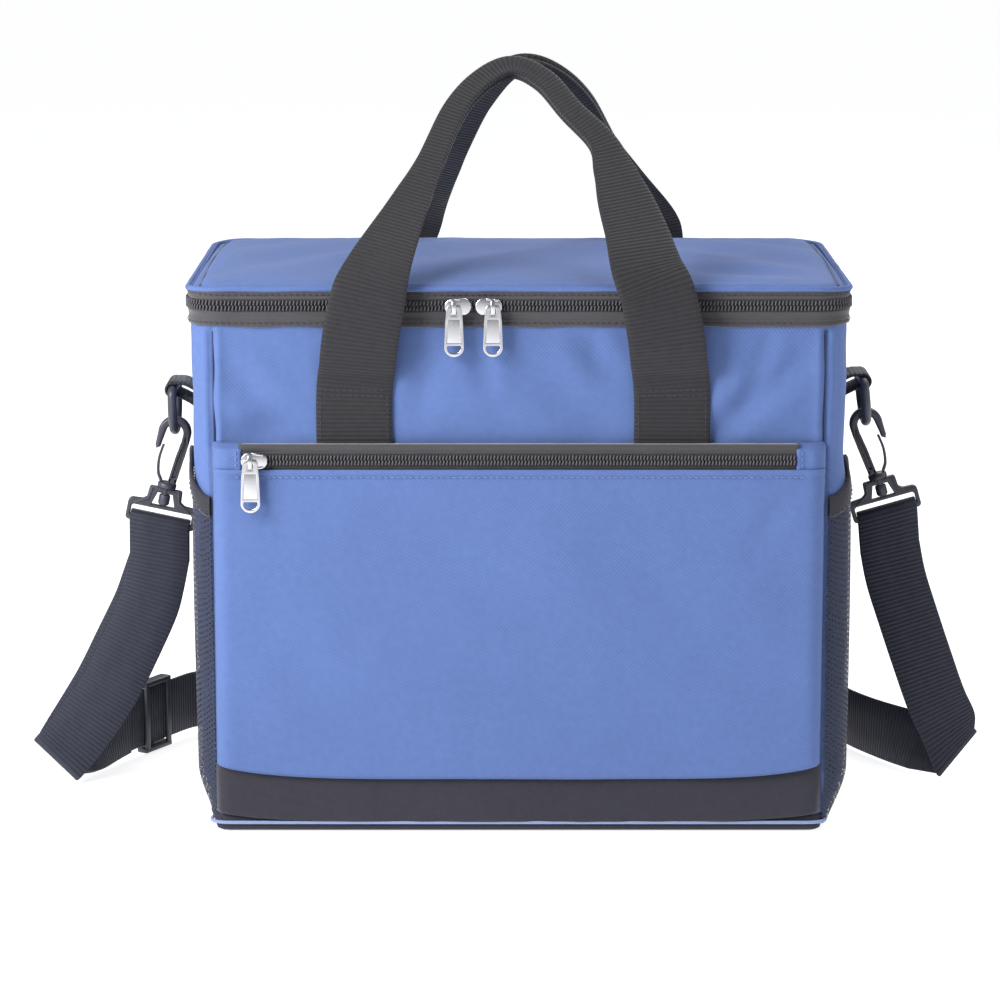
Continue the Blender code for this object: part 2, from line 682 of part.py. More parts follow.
def buckle(side, facts):
    """The strap's end frame: a neck that holds the swivel, a window round its head and a slot over a bar."""
    frame = hook_frame(facts) @ Matrix.Translation((STEM_X, 0, 0))
    top = COLLAR_Z - 0.0026 - GAP
    shoulder = -0.0385
    half = 0.0185
    edge = [(-0.0088, top), (0.0088, top), (0.0094, shoulder + 0.0015), (half - 0.003, shoulder),
            (half, shoulder - 0.0025), (half, BAR_Z - 0.0008), (half - 0.0022, BAR_Z - BAR_R),
            (-half + 0.0022, BAR_Z - BAR_R), (-half, BAR_Z - 0.0008), (-half, shoulder - 0.0025),
            (-half + 0.003, shoulder), (-0.0094, shoulder + 0.0015)]
    body = outline(f"{side}_buckle", edge, -BUCKLE_T, BUCKLE_T, PLASTIC, upright(frame))
    slot_top = BAR_Z + 0.0070
    slot_half = STRAP_W / 2 + 0.0003
    slot = [(-slot_half, slot_top), (slot_half, slot_top), (slot_half, BAR_Z + BAR_R),
            (-slot_half, BAR_Z + BAR_R)]
    window = [(-0.0038, COLLAR_Z - 0.0060), (0.0038, COLLAR_Z - 0.0060), (0.0062, slot_top + 0.0016),
              (-0.0062, slot_top + 0.0016)]
    tools = [outline(f"{side}_slot", slot, -0.01, 0.01, PLASTIC, upright(frame)),
             outline(f"{side}_window", window, -0.01, 0.01, PLASTIC, upright(frame))]
    bm = bmesh.new()
    place = frame @ Matrix.Translation((0, 0, top - 0.002))
    bmesh.ops.create_cone(bm, cap_ends=True, segments=16, radius1=SWIVEL_R + 0.0004,
                          radius2=SWIVEL_R + 0.0004, depth=0.012, matrix=place)
    tools.append(from_bmesh(f"{side}_stem_hole", bm, PLASTIC))
    for tool in tools:
        cut(body, tool)


# ---------------------------------------------------------------- shoulder strap
def bar_point(facts):
    """The middle of a buckle's lower bar."""
    return hook_frame(facts) @ Vector((STEM_X, 0, BAR_Z))


def bar_across(facts):
    """Half the strap's width along a buckle's bar, from its outer edge to its inner edge."""
    along = hook_frame(facts).to_3x3() @ Vector((1, 0, 0))
    return along.normalized() * (STRAP_W / 2)


# The strap's route as (middle of the webbing, half width from its upper or outer edge to the other edge).
# It runs down from the left buckle, turns over at a flat fold on the surface, and stands on edge from there.
LEFT_DOWN = (
    ((-0.1903, -0.0040, 0.1225), (0.0157, 0, -0.0025)),
    ((-0.1930, -0.0050, 0.1090), (0.0155, 0, -0.0040)),
    ((-0.1966, -0.0060, 0.0957), (0.0151, 0, -0.0053)),
    ((-0.2064, -0.0070, 0.0742), (0.0144, 0, -0.0069)),
    ((-0.2165, -0.0085, 0.0540), (0.0139, 0, -0.0078)),
    ((-0.2265, -0.0100, 0.0385), (0.0133, 0, -0.0088)),
    ((-0.2372, -0.0115, 0.0240), (0.0124, 0, -0.0100)),
)
LEFT_FOLD = ((-0.2448, -0.0100, 0.0152), (0.0113, 0, -0.0113))
BEHIND = (
    ((-0.2345, 0.0060, 0.0160), (0.0076, 0, -0.0141)),
    ((-0.2235, 0.0235, 0.0168), (0.0038, 0, -0.0155)),
    ((-0.2130, 0.0400, 0.0185), (0.0010, 0, -0.0160)),
    ((-0.2025, 0.0570, 0.0200), (0, 0, -0.0160)),
    ((-0.1925, 0.0740, 0.0200), (0, 0, -0.0160)),
    ((-0.1820, 0.0910, 0.0185), (0, 0, -0.0160)),
    ((-0.1690, 0.1060, 0.0170), (0, 0, -0.0160)),
    ((-0.1480, 0.1130, 0.0170), (0, 0, -0.0160)),
    ((-0.1200, 0.1145, 0.0170), (0, 0, -0.0160)),
    ((0.0000, 0.1150, 0.0170), (0, 0, -0.0160)),
    ((0.1200, 0.1145, 0.0170), (0, 0, -0.0160)),
    ((0.1480, 0.1130, 0.0170), (0, 0, -0.0160)),
    ((0.1670, 0.1010, 0.0170), (0, 0, -0.0160)),
    ((0.1775, 0.0800, 0.0170), (0, 0, -0.0160)),
    ((0.1870, 0.0570, 0.0170), (0, 0, -0.0160)),
    ((0.2000, 0.0350, 0.0168), (-0.0010, 0, -0.0160)),
    ((0.2165, 0.0140, 0.0164), (-0.0045, 0, -0.0153)),
)
RIGHT_FOLD = ((0.2352, -0.0020, 0.0150), (-0.0098, 0, -0.0127))
RIGHT_UP = (
    ((0.2312, -0.0040, 0.0290), (-0.0134, 0, -0.0088)),
    ((0.2238, -0.0050, 0.0447), (-0.0146, 0, -0.0066)),
    ((0.2162, -0.0050, 0.0656), (-0.0151, 0, -0.0053)),
    ((0.2083, -0.0045, 0.0886), (-0.0151, 0, -0.0051)),
    ((0.2012, -0.0040, 0.1105), (-0.0155, 0, -0.0040)),
    ((0.1975, -0.0036, 0.1280), (-0.0155, 0, -0.0040)),
)
WRAP_R = math.hypot(BAR_R, BUCKLE_T) + GAP + STRAP_T / 2
LAYER = STRAP_T + 0.0006    # from the middle of one layer of webbing to the middle of the next
FOLD_R = 0.0034             # the outer layer's turn at the fold on the left
SLIP = 0.0038               # how far the second layer shows beside the first


def station(spec):
    return Vector(spec[0]), Vector(spec[1])


def flat_fold(spec, radius, outwards):
    """The webbing turned over round a fold line: half a turn of a small radius, from the near to the far layer."""
    middle, half = station(spec)
    near = Vector((0, -1, 0))
    away = Vector((outwards, 0, -1)).normalized()
    away = (away - half.normalized() * away.dot(half.normalized())).normalized()
    turns = [math.radians(a) for a in (0, 30, 60, 90, 120, 150, 180)]
    return [(middle + (near * math.cos(a) + away * math.sin(a)) * radius, half) for a in turns]


def over_bar(facts, start, end, steps):
    """The webbing round a buckle's bar. Angles are from straight in front, through the top, to behind."""
    middle, half = bar_point(facts), bar_across(facts)
    up = Vector((0, 1, 0)).cross(half).normalized()
    up = up if up.z > 0 else -up
    near = Vector((0, -1, 0))
    angles = [math.radians(start + (end - start) * i / steps) for i in range(steps + 1)]
    return [(middle + (near * math.cos(a) + up * math.sin(a)) * WRAP_R, half) for a in angles]


def smooth(stations, steps=2):
    middles = catmull([m for m, _ in stations], steps)
    halves = catmull([h for _, h in stations], steps)
    return list(zip(middles, halves))


def ribbon(name, stations, finish):
    """Webbing of even thickness through stations of (middle, half width)."""
    bm = bmesh.new()
    sections = []
    for i, (middle, half) in enumerate(stations):
        before = stations[max(i - 1, 0)][0]
        after = stations[min(i + 1, len(stations) - 1)][0]
        normal = (after - before).cross(half).normalized() * (STRAP_T / 2)
        half = half.normalized() * max(half.length, STRAP_W / 2)
        corners = (middle + half + normal, middle + half - normal,
                   middle - half - normal, middle - half + normal)
        sections.append([bm.verts.new(c) for c in corners])
    for one, two in zip(sections, sections[1:]):
        for k in range(4):
            n = (k + 1) % 4
            # Both broad faces are split along the same diagonal, so that twisted webbing keeps its thickness.
            start, end = (k, n) if k < 3 else (n, k)
            bm.faces.new((one[k], one[n], two[end]))
            bm.faces.new((one[start], two[n], two[k]))
    bm.faces.new(sections[0])
    bm.faces.new(sections[-1][::-1])
    return from_bmesh(name, bm, finish)


def normals(stations):
    """The webbing's own normal at each station, on the side that is in front at the left buckle."""
    found = []
    for i, (_, half) in enumerate(stations):
        before, after = stations[max(i - 1, 0)][0], stations[min(i + 1, len(stations) - 1)][0]
        found.append((after - before).cross(half).normalized())
    return found


def left_route():
    """From the left buckle's bar to the adjuster, without the turn round the bar."""
    fold = flat_fold(LEFT_FOLD, FOLD_R, -1)
    down = smooth([*(station(s) for s in LEFT_DOWN), fold[0]])
    return down + fold[1:] + smooth([fold[-1], *(station(s) for s in BEHIND)], 4)[1:]


def main_route():
    """Left buckle to right buckle, with the sewn end turned down behind the right buckle's bar."""
    fold = flat_fold(RIGHT_FOLD, 0.0016, 1)[::-1]
    up = smooth([fold[-1], *(station(s) for s in RIGHT_UP)], 3)
    route = over_bar(SIDES["left"], 150, 0, 6) + left_route() + fold[:-1] + up
    route += over_bar(SIDES["right"], 0, 180, 6)
    sewn = [(middle + Vector((0, LAYER + 0.0003, 0)), half) for middle, half in up[-1:-6:-1]]
    return route + sewn


def return_route():
    """Left buckle, behind the first layer, back to the adjuster."""
    front = left_route()
    down = 2 * len(LEFT_DOWN)
    last = down + 7 + 4 * 3 + 2
    route = []
    for i, ((middle, half), normal) in enumerate(zip(front[:last], normals(front))):
        share = min(i / down, 1.0)
        slip = half.normalized() * (SLIP * 4 * share * (1 - share))
        route.append((middle - normal * LAYER - slip, half))
    return over_bar(SIDES["left"], 168, 190, 1) + route


def adjuster():
    """A three-bar slide: its middle bar is outside the webbing and its end bars are inside."""
    start, end = Vector(BEHIND[3][0]), Vector(BEHIND[4][0])
    ahead = (end - start).normalized()
    out = Vector((-ahead.y, ahead.x, 0))
    middle = start.lerp(end, 0.15)
    frame = Matrix((
        (ahead.x, out.x, 0, middle.x), (ahead.y, out.y, 0, middle.y), (0, 0, 1, middle.z), (0, 0, 0, 1)))
    rail = STRAP_W / 2 + 0.0006
    depth = 0.0034
    bm = bmesh.new()
    for sign in (-1, 1):
        low, high = sorted((sign * rail, sign * (rail + 0.0030)))
        verts = add_box(bm, (-0.0120, -depth, low), (0.0120, depth, high))
        bmesh.ops.transform(bm, matrix=frame, verts=verts)
    rails = from_bmesh("strap_adjuster", bm, PLASTIC)
    skin = STRAP_T / 2 + 0.0004
    bars = []
    face = depth - 0.0004
    for n, (x, near, far) in enumerate(((0, skin, face), (-0.0098, -face, -skin), (0.0098, -face, -skin))):
        bm = bmesh.new()
        verts = add_box(bm, (x - 0.0016, near, -rail - 0.0015), (x + 0.0016, far, rail + 0.0015))
        bmesh.ops.transform(bm, matrix=frame, verts=verts)
        bars.append(from_bmesh(f"adjuster_bar_{n}", bm, PLASTIC))
    union(rails, bars)


# ---------------------------------------------------------------- the whole bag
body_panels()
base()
insulation()
liner()
front_pocket()
pocket_zip()
side_pockets()
lid()
lid_piping()
main_zip()
sliders()
handles()
for which, facts in SIDES.items():
    tab(which, facts)
    ring(which, facts)
    hook(which, facts)
    gate(which, facts)
    buckle(which, facts)
ribbon("shoulder_strap", main_route(), WEB)
ribbon("strap_return", return_route(), WEB)
adjuster()
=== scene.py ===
"""Looks of the insulated cooler bag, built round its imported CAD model.

Metres. +X is the bag's right seen from the front, +Y runs from front to back, +Z is up.
"""
import math

import bmesh
import bpy
import numpy as np
from mathutils import Matrix, Vector, noise


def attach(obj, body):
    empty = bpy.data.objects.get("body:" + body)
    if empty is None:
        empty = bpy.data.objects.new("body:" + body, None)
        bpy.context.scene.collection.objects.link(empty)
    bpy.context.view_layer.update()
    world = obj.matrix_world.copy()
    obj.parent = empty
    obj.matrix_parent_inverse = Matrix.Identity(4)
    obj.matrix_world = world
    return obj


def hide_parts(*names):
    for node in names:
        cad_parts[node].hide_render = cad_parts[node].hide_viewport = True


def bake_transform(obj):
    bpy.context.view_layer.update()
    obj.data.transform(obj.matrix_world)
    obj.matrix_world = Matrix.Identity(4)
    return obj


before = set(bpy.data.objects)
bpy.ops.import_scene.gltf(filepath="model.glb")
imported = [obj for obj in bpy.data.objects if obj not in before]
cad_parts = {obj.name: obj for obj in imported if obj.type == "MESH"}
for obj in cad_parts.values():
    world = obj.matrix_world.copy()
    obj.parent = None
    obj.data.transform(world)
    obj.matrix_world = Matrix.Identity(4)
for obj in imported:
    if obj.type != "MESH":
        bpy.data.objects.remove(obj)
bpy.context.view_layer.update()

# ---------------------------------------------------------------- driving dimensions, those of the CAD model
GAP = 0.0003
HALF_W = 0.165              # bag body, half width
HALF_D = 0.101              # bag body, half depth
CORNER_R = 0.018            # vertical corner radius
SEAM = math.radians(21)     # how far round a corner the panel seam sits
ZIP_Z = 0.2714              # where lid and body meet
BODY_TOP = ZIP_Z - GAP / 2
LID_LOW = ZIP_Z + GAP / 2
POCKET_FRONT = -0.1080      # outer face of the front pocket
POCKET_ZIP_Z = 0.1945
POCKET_HALF_W = 0.1495
POCKET_EDGE = 0.1538        # where the pocket's cloth is sewn into the side seam
WEBBING = 0.038             # handle webbing width
WEB_T = 0.0018
HANDLE_X = -0.0029          # the handles sit a little to the left
HANDLE_SPREAD = 0.0794      # sewn end to handle centre
HANDLE_PIVOT = (0.1083, 0.2415)
STRAP_W = 0.032
STRAP_T = 0.0015
TAB_W = 0.025
RING_R = 0.0024
FLAT_X = HALF_W - CORNER_R
FLAT_Y = HALF_D - CORNER_R
# Each side: how much higher its loop sits, how far its ring and hook lean in degrees, how far the cloth
# behind its pocket stands out and draws in again, and how far the pocket's edge rises from the seam.
SIDES = {
    "left": {"sign": -1, "lift": 0.0, "ring_tilt": 0.0, "hook_tilt": 12.0,
             "push": -0.0006, "taper": 0.0014, "rise": 0.0205},
    "right": {"sign": 1, "lift": 0.0045, "ring_tilt": 6.0, "hook_tilt": 16.0,
              "push": 0.0026, "taper": 0.0004, "rise": 0.0155},
}
CAMERA_AT = (-0.0095, -1.8894, 0.5315)
CAMERA_DIP = 0.198          # radians below level
UV = "cloth"


def link(obj):
    bpy.context.scene.collection.objects.link(obj)
    return obj


# ---------------------------------------------------------------- camera
def make_camera():
    lens = bpy.data.cameras.new("camera")
    lens.sensor_width = 36.0
    lens.lens = 130.74
    lens.clip_end = 40.0
    camera = link(bpy.data.objects.new("camera", lens))
    camera.location = CAMERA_AT
    camera.rotation_euler = (math.pi / 2 - CAMERA_DIP, 0, 0)
    bpy.context.scene.camera = camera


make_camera()


# ---------------------------------------------------------------- node helpers
def add(made, kind, inputs=(), **settings):
    """A shader node; an input is a constant or another node's output."""
    node = made.node_tree.nodes.new("ShaderNode" + kind)
    for key, value in settings.items():
        setattr(node, key, value)
    for key, value in dict(inputs).items():
        if isinstance(value, bpy.types.NodeSocket):
            made.node_tree.links.new(value, node.inputs[key])
        else:
            node.inputs[key].default_value = value
    return node


def calc(made, operation, *values):
    return add(made, "Math", dict(enumerate(values)), operation=operation).outputs[0]


def shaded(colour, share):
    return (*(min(c * share, 1.0) for c in colour), 1.0)


def material(name, roughness, metallic=0.0, **constants):
    made = bpy.data.materials.new(name)
    made.use_nodes = True
    shader = made.node_tree.nodes["Principled BSDF"]
    shader.inputs["Roughness"].default_value = roughness
    shader.inputs["Metallic"].default_value = metallic
    for key, value in constants.items():
        shader.inputs[key.replace("_", " ")].default_value = value
    return made, shader


def dress(made, shader, tone, dark, light, height, strength, relief):
    """Colour between two shades by tone, and relief by height."""
    mix = add(made, "MixRGB", {"Fac": tone, "Color1": dark, "Color2": light})
    bump = add(made, "Bump", {"Height": height, "Strength": strength, "Distance": relief})
    made.node_tree.links.new(mix.outputs[0], shader.inputs["Base Color"])
    made.node_tree.links.new(bump.outputs[0], shader.inputs["Normal"])
    return made


def cloth_place(made):
    """The cloth's own coordinates in metres: the vector, and its two parts."""
    place = add(made, "UVMap", uv_map=UV).outputs["UV"]
    parts = add(made, "SeparateXYZ", {"Vector": place})
    return place, parts.outputs["X"], parts.outputs["Y"]


def wave(made, u, v, along, across):
    """A 0 to 1 wave over the cloth, with so many cycles per metre along u and along v."""
    phase = calc(made, "ADD", calc(made, "MULTIPLY", u, along * math.tau),
                 calc(made, "MULTIPLY", v, across * math.tau))
    return calc(made, "MULTIPLY_ADD", calc(made, "SINE", phase), 0.5, 0.5)


def speckle(made, place, scale, detail):
    return add(made, "TexNoise", {"Vector": place, "Scale": scale, "Detail": detail}).outputs["Fac"]


def woven(name, colour, threads, contrast, mottle_and_glints, relief, roughness=0.86, sheen=0.25):
    """A woven fabric. threads holds (cycles along u, cycles along v, share) for each set of threads."""
    made, shader = material(name, roughness, Sheen_Weight=sheen, Sheen_Roughness=0.45,
                            Specular_IOR_Level=0.25)
    place, u, v = cloth_place(made)
    height = None
    for along, across, share in threads:
        part = calc(made, "MULTIPLY", wave(made, u, v, along, across), share)
        height = part if height is None else calc(made, "ADD", height, part)
    fibre = speckle(made, place, 2600.0, 1.0)
    height = calc(made, "ADD", height, calc(made, "MULTIPLY", fibre, 0.25))
    # Random tone in broad patches and small slubs; on the webbing, where it is strong, it is painted glints.
    patches = calc(made, "MULTIPLY_ADD", speckle(made, place, 14.0, 4.0), mottle_and_glints, -mottle_and_glints / 2)
    slubs_and_glints = calc(made, "MULTIPLY_ADD", speckle(made, place, 260.0, 2.0), mottle_and_glints, -mottle_and_glints / 2)
    tone = calc(made, "ADD", calc(made, "ADD", height, patches), slubs_and_glints)
    return dress(made, shader, tone, shaded(colour, 1 - contrast), shaded(colour, 1 + contrast),
                 height, 1.0, relief)


def moulded(name, colour, roughness, metallic, grain, relief, worn):
    """Plastic or plated metal: fine grain, uneven gloss and edges that are rubbed lighter."""
    made, shader = material(name, roughness, metallic)
    place = add(made, "TexCoord").outputs["Object"]
    fine = speckle(made, place, grain, 3.0)
    smear = speckle(made, place, 160.0, 2.0)
    edge = add(made, "MapRange", {"Value": add(made, "NewGeometry").outputs["Pointiness"],
                                  "From Min": 0.5, "From Max": 0.62}).outputs[0]
    tone = calc(made, "ADD", calc(made, "MULTIPLY", smear, 0.3), edge)
    gloss = calc(made, "MULTIPLY_ADD", smear, 0.16, roughness - 0.08)
    made.node_tree.links.new(gloss, shader.inputs["Roughness"])
    return dress(made, shader, tone, shaded(colour, 1.0), shaded(colour, worn), fine, 0.6, relief)


def sprayed(name, colour, roughness, metallic, cell, relief):
    """Foam cells, or the crinkles of a foil film."""
    made, shader = material(name, roughness, metallic)
    place = add(made, "TexCoord").outputs["Object"]
    cells = add(made, "TexVoronoi", {"Vector": place, "Scale": cell}).outputs["Distance"]
    soft = speckle(made, place, cell / 3, 3.0)
    tone = calc(made, "ADD", calc(made, "MULTIPLY", cells, 0.6), calc(made, "MULTIPLY", soft, 0.4))
    return dress(made, shader, tone, shaded(colour, 0.9), shaded(colour, 1.08), tone, 0.8, relief)


TWILL = 500.0               # diagonal lines per metre along either thread
RIBS = ((0, 455, 0.7), (1250, 0, 0.2))
# Each woven cloth: colour, threads, contrast, mottle, relief, roughness, sheen. On the webbing the strong
# mottle is painted glints, and its light rib lines are partly painted glints.
CLOTHS = {
    "blue_twill": ((0.090, 0.146, 0.342), ((TWILL, TWILL, 0.38), (900, -900, 0.3)),
                   0.22, 0.4, 0.00012, 0.85, 0.06),
    "pale_piping": ((0.22, 0.28, 0.48), ((900, 0, 0.5), (0, 900, 0.3)), 0.2, 0.1, 0.00012),
    "black_twill": ((0.028, 0.027, 0.038), ((620, 620, 0.5), (1000, -1000, 0.25)),
                    0.35, 0.4, 0.00014, 0.8, 0.2),
    "black_mesh": ((0.025, 0.029, 0.050), ((1200, 0, 0.4), (0, 1200, 0.4)), 0.35, 0.4, 0.0001, 0.75, 0.12),
    # painted glints: the strong mottle and the light rib lines stand in for light catching the ribs
    "black_webbing": ((0.0165, 0.0160, 0.0195), RIBS, 0.42, 0.7, 0.0003, 0.6, 0.2),
    "zip_tape": ((0.056, 0.053, 0.058), ((1500, 0, 0.35), (0, 1500, 0.35)), 0.35, 0.25, 0.00012, 0.75, 0.4),
}
FINISHES = {name: woven(name, *facts) for name, facts in CLOTHS.items()} | {
    "zip_teeth": moulded("zip_teeth", (0.030, 0.029, 0.034), 0.45, 0.0, 3000.0, 0.00002, 1.8),
    "nickel": moulded("nickel", (0.50, 0.50, 0.52), 0.24, 1.0, 1800.0, 0.00001, 1.3),
    "black_plastic": moulded("black_plastic", (0.022, 0.023, 0.032), 0.4, 0.0, 2600.0, 0.00003, 2.4),
    "foam": sprayed("foam", (0.83, 0.83, 0.82), 0.95, 0.0, 900.0, 0.0003),
    "foil_liner": sprayed("foil_liner", (0.33, 0.335, 0.35), 0.5, 0.25, 90.0, 0.0012),
}
# The strap's webbing, a little bluer; its strong mottle and light rib lines are painted glints, as on the
# handles.
STRAP_WEB = woven("strap_webbing", (0.0190, 0.0210, 0.0350), RIBS, 0.42, 0.7, 0.0003, 0.6, 0.2)
# The first of these is dark blue painted shade, laid in the seams' grooves; the other two are thread.
SEAM_SHADE, THREAD, DARK_THREAD = (
    woven(name, colour, ((2500, 2500, 0.6),), 0.3, 0.2, 0.00005)
    for name, colour in (("painted_seam_shade", (0.040, 0.060, 0.140)), ("blue_thread", (0.16, 0.24, 0.52)),
                         ("dark_thread", (0.045, 0.045, 0.055))))


# ---------------------------------------------------------------- mesh helpers
def put(obj, body, slot, *nodes, finish=None):
    """Gives a piece its material, hides the CAD nodes that it stands for, and lets it ride on a body."""
    obj.data.materials.append(finish or FINISHES[slot])
    if nodes:
        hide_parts(*nodes)
    if body is not None:
        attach(obj, body)
    return obj


def stack(*coordinates):
    """Points from x, y and z, each a number or an array."""
    return np.stack(np.broadcast_arrays(*coordinates), axis=-1)


def travelled(points):
    """The distance along a line of points, at each of them."""
    steps = np.linalg.norm(np.diff(np.asarray(points, float), axis=0), axis=1)
    return np.concatenate([[0.0], np.cumsum(steps)])


def turn_outwards(mesh, weld=False):
    """Makes all faces of a mesh point out, with doubled points joined if weld is set."""
    bm = bmesh.new()
    bm.from_mesh(mesh)
    if weld:
        bmesh.ops.remove_doubles(bm, verts=bm.verts, dist=1e-6)
    bmesh.ops.recalc_face_normals(bm, faces=bm.faces)
    bm.to_mesh(mesh)
    bm.free()


def grid(name, points, wrap=False, planar=False, thick=0.0, inside=(0, 0, 0.14), inward=False, caps=False):
    """A surface through rows of points, with the cloth's coordinates in metres, facing away from inside.

    wrap closes each row, caps closes the first and the last, and planar takes x and y as the coordinates.
    """
    points = np.asarray(points, float)
    rows, columns = points.shape[:2]
    span = columns if wrap else columns - 1
    closed = np.concatenate([points, points[:, :1]], axis=1) if wrap else points
    u = np.array([travelled(row) for row in closed])
    climb = np.linalg.norm(np.diff(closed, axis=0), axis=2).mean(axis=1)
    v = np.concatenate([[0.0], np.cumsum(climb)])[:, None]
    place = closed[..., :2] if planar else stack(u, v)
    i, j = (a.ravel() for a in np.meshgrid(range(rows - 1), range(span), indexing="ij"))
    right = (j + 1) % columns
    corners = np.stack([i * columns + j, i * columns + right, (i + 1) * columns + right,
                        (i + 1) * columns + j], axis=1)
    cloth = np.stack([place[i, j], place[i, j + 1], place[i + 1, j + 1], place[i + 1, j]], axis=1)
    flat = points.reshape(-1, 3)
    facing = np.cross(flat[corners[:, 2]] - flat[corners[:, 0]], flat[corners[:, 3]] - flat[corners[:, 1]])
    if (facing * (flat[corners].mean(axis=1) - np.array(inside))).sum() * (-1 if inward else 1) < 0:
        corners, cloth = corners[:, ::-1], cloth[:, ::-1]
    faces = corners.tolist()
    cloth = cloth.reshape(-1, 2)
    if caps:
        faces += [list(range(columns)), list(range((rows - 1) * columns, rows * columns))]
        cloth = np.concatenate([cloth, place[0, :columns], place[-1, :columns]])
    mesh = bpy.data.meshes.new(name)
    mesh.from_pydata(flat.tolist(), [], faces)
    mesh.uv_layers.new(name=UV).data.foreach_set("uv", cloth.ravel())
    if caps:
        turn_outwards(mesh)
    mesh.shade_smooth()
    if caps:
        mesh.set_sharp_from_angle(angle=math.radians(60))
    obj = link(bpy.data.objects.new(name, mesh))
    if thick:
        shell = obj.modifiers.new("thickness", "SOLIDIFY")
        shell.thickness = thick
        shell.offset = -1
    return obj


def from_bmesh(name, bm, sharp=35):
    """An object from a bmesh, smooth except where faces meet at more than sharp degrees."""
    mesh = bpy.data.meshes.new(name)
    bm.to_mesh(mesh)
    bm.free()
    mesh.shade_smooth()
    mesh.set_sharp_from_angle(angle=math.radians(sharp))
    return link(bpy.data.objects.new(name, mesh))


def plate(outlines, thick, soft, place):
    """A flat plate with rounded edges as a bmesh: the first outline is its edge, the others are holes."""
    line = bpy.data.curves.new("plate", "CURVE")
    line.dimensions = "2D"
    line.fill_mode = "BOTH"
    line.extrude = thick / 2 - soft
    line.bevel_depth = soft
    line.bevel_resolution = 2
    line.offset = -soft
    for points in outlines:
        spline = line.splines.new("POLY")
        spline.points.add(len(points) - 1)
        for point, (x, y) in zip(spline.points, points):
            point.co = (x, y, 0, 1)
        spline.use_cyclic_u = True
    holder = link(bpy.data.objects.new("plate", line))
    ready = holder.evaluated_get(bpy.context.evaluated_depsgraph_get())
    mesh = bpy.data.meshes.new_from_object(ready)
    bm = bmesh.new()
    bm.from_mesh(mesh)
    bpy.data.objects.remove(holder)
    bpy.data.curves.remove(line)
    bpy.data.meshes.remove(mesh)
    bmesh.ops.remove_doubles(bm, verts=bm.verts, dist=1e-6)
    bmesh.ops.transform(bm, matrix=place, verts=bm.verts)
    bmesh.ops.recalc_face_normals(bm, faces=bm.faces)
    return bm


def joined(name, parts, sharp=35):
    """One object from several bmeshes."""
    whole = bmesh.new()
    for part in parts:
        mesh = bpy.data.meshes.new("part")
        part.to_mesh(mesh)
        part.free()
        whole.from_mesh(mesh)
        bpy.data.meshes.remove(mesh)
    return from_bmesh(name, whole, sharp)


def soft_box(low, high, soft, place=Matrix.Identity(4)):
    """A box with rounded edges, as a bmesh."""
    bm = bmesh.new()
    size = Vector(high) - Vector(low)
    centre = (Vector(high) + Vector(low)) / 2
    bmesh.ops.create_cube(bm, size=1.0, matrix=Matrix.Translation(centre) @ Matrix.Diagonal((*size, 1)))
    bmesh.ops.bevel(bm, geom=bm.edges, offset=soft, segments=3, profile=0.5, affect="EDGES")
    bmesh.ops.transform(bm, matrix=place, verts=bm.verts)
    return bm


def lathe(profile, place):
    """A turned shape about its own z axis, from (radius, height) points, as a bmesh."""
    bm = bmesh.new()
    rings = []
    steps = 28
    turns = [math.tau * k / steps for k in range(steps)]
    for radius, height in profile:
        rings.append([bm.verts.new((radius * math.cos(a), radius * math.sin(a), height)) for a in turns])
    for one, two in zip(rings, rings[1:]):
        for k in range(steps):
            n = (k + 1) % steps
            bm.faces.new((one[k], one[n], two[n], two[k]))
    bm.faces.new(rings[0])
    bm.faces.new(rings[-1][::-1])
    bmesh.ops.recalc_face_normals(bm, faces=bm.faces)
    bmesh.ops.transform(bm, matrix=place, verts=bm.verts)
    return bm


def tube_points(path, radius, closed, sides):
    """Rings round a path, turned along it without twist. radius is a number or a function of 0 to 1."""
    path = [Vector(p) for p in path]
    count = len(path)
    rings = []
    side = None
    for i, p in enumerate(path):
        before = path[i - 1] if i or closed else p
        after = path[(i + 1) % count] if i < count - 1 or closed else p
        ahead = (after - before).normalized()
        side = ahead.orthogonal() if side is None else side
        side = (side - ahead * side.dot(ahead)).normalized()
        other = ahead.cross(side)
        size = radius(i / (count - 1)) if callable(radius) else radius
        turns = [math.tau * k / sides for k in range(sides)]
        rings.append([p + (side * math.cos(a) + other * math.sin(a)) * size for a in turns])
    return rings + rings[:1] if closed else rings


def tube(name, path, radius, closed=False, sides=12):
    """A round tube along a path, with flat ends unless it is closed."""
    rings = tube_points(path, radius, closed, sides)
    centre = sum((Vector(p) for p in path), Vector()) / len(path)
    obj = grid(name, rings, wrap=True, inside=centre, caps=not closed)
    turn_outwards(obj.data, weld=True)
    return obj


def catmull(points, steps):
    """A smooth curve through points, with steps pieces between each two."""
    padded = [2 * points[0] - points[1], *points, 2 * points[-1] - points[-2]]
    out = []
    for a, b, c, d in zip(padded, padded[1:], padded[2:], padded[3:]):
        for i in range(steps):
            t = i / steps
            out.append(0.5 * (2 * b + (c - a) * t + (2 * a - 5 * b + 4 * c - d) * t * t
                              + (3 * b - a - 3 * c + d) * t ** 3))
    return [*out, points[-1]]


def arc(centre, radius, start, end, steps):
    """Points along an arc, angles in degrees, both ends included."""
    angles = [math.radians(start + (end - start) * i / steps) for i in range(steps + 1)]
    return [(centre[0] + radius * math.cos(a), centre[1] + radius * math.sin(a)) for a in angles]


def ease(x):
    """From 0 to 1, slow at both ends."""
    x = np.clip(x, 0, 1)
    return x * x * (3 - 2 * x)


def bell(x, wide):
    """1 where x is 0, and close to 0 beyond twice wide."""
    return np.exp(-(x / wide) ** 2)


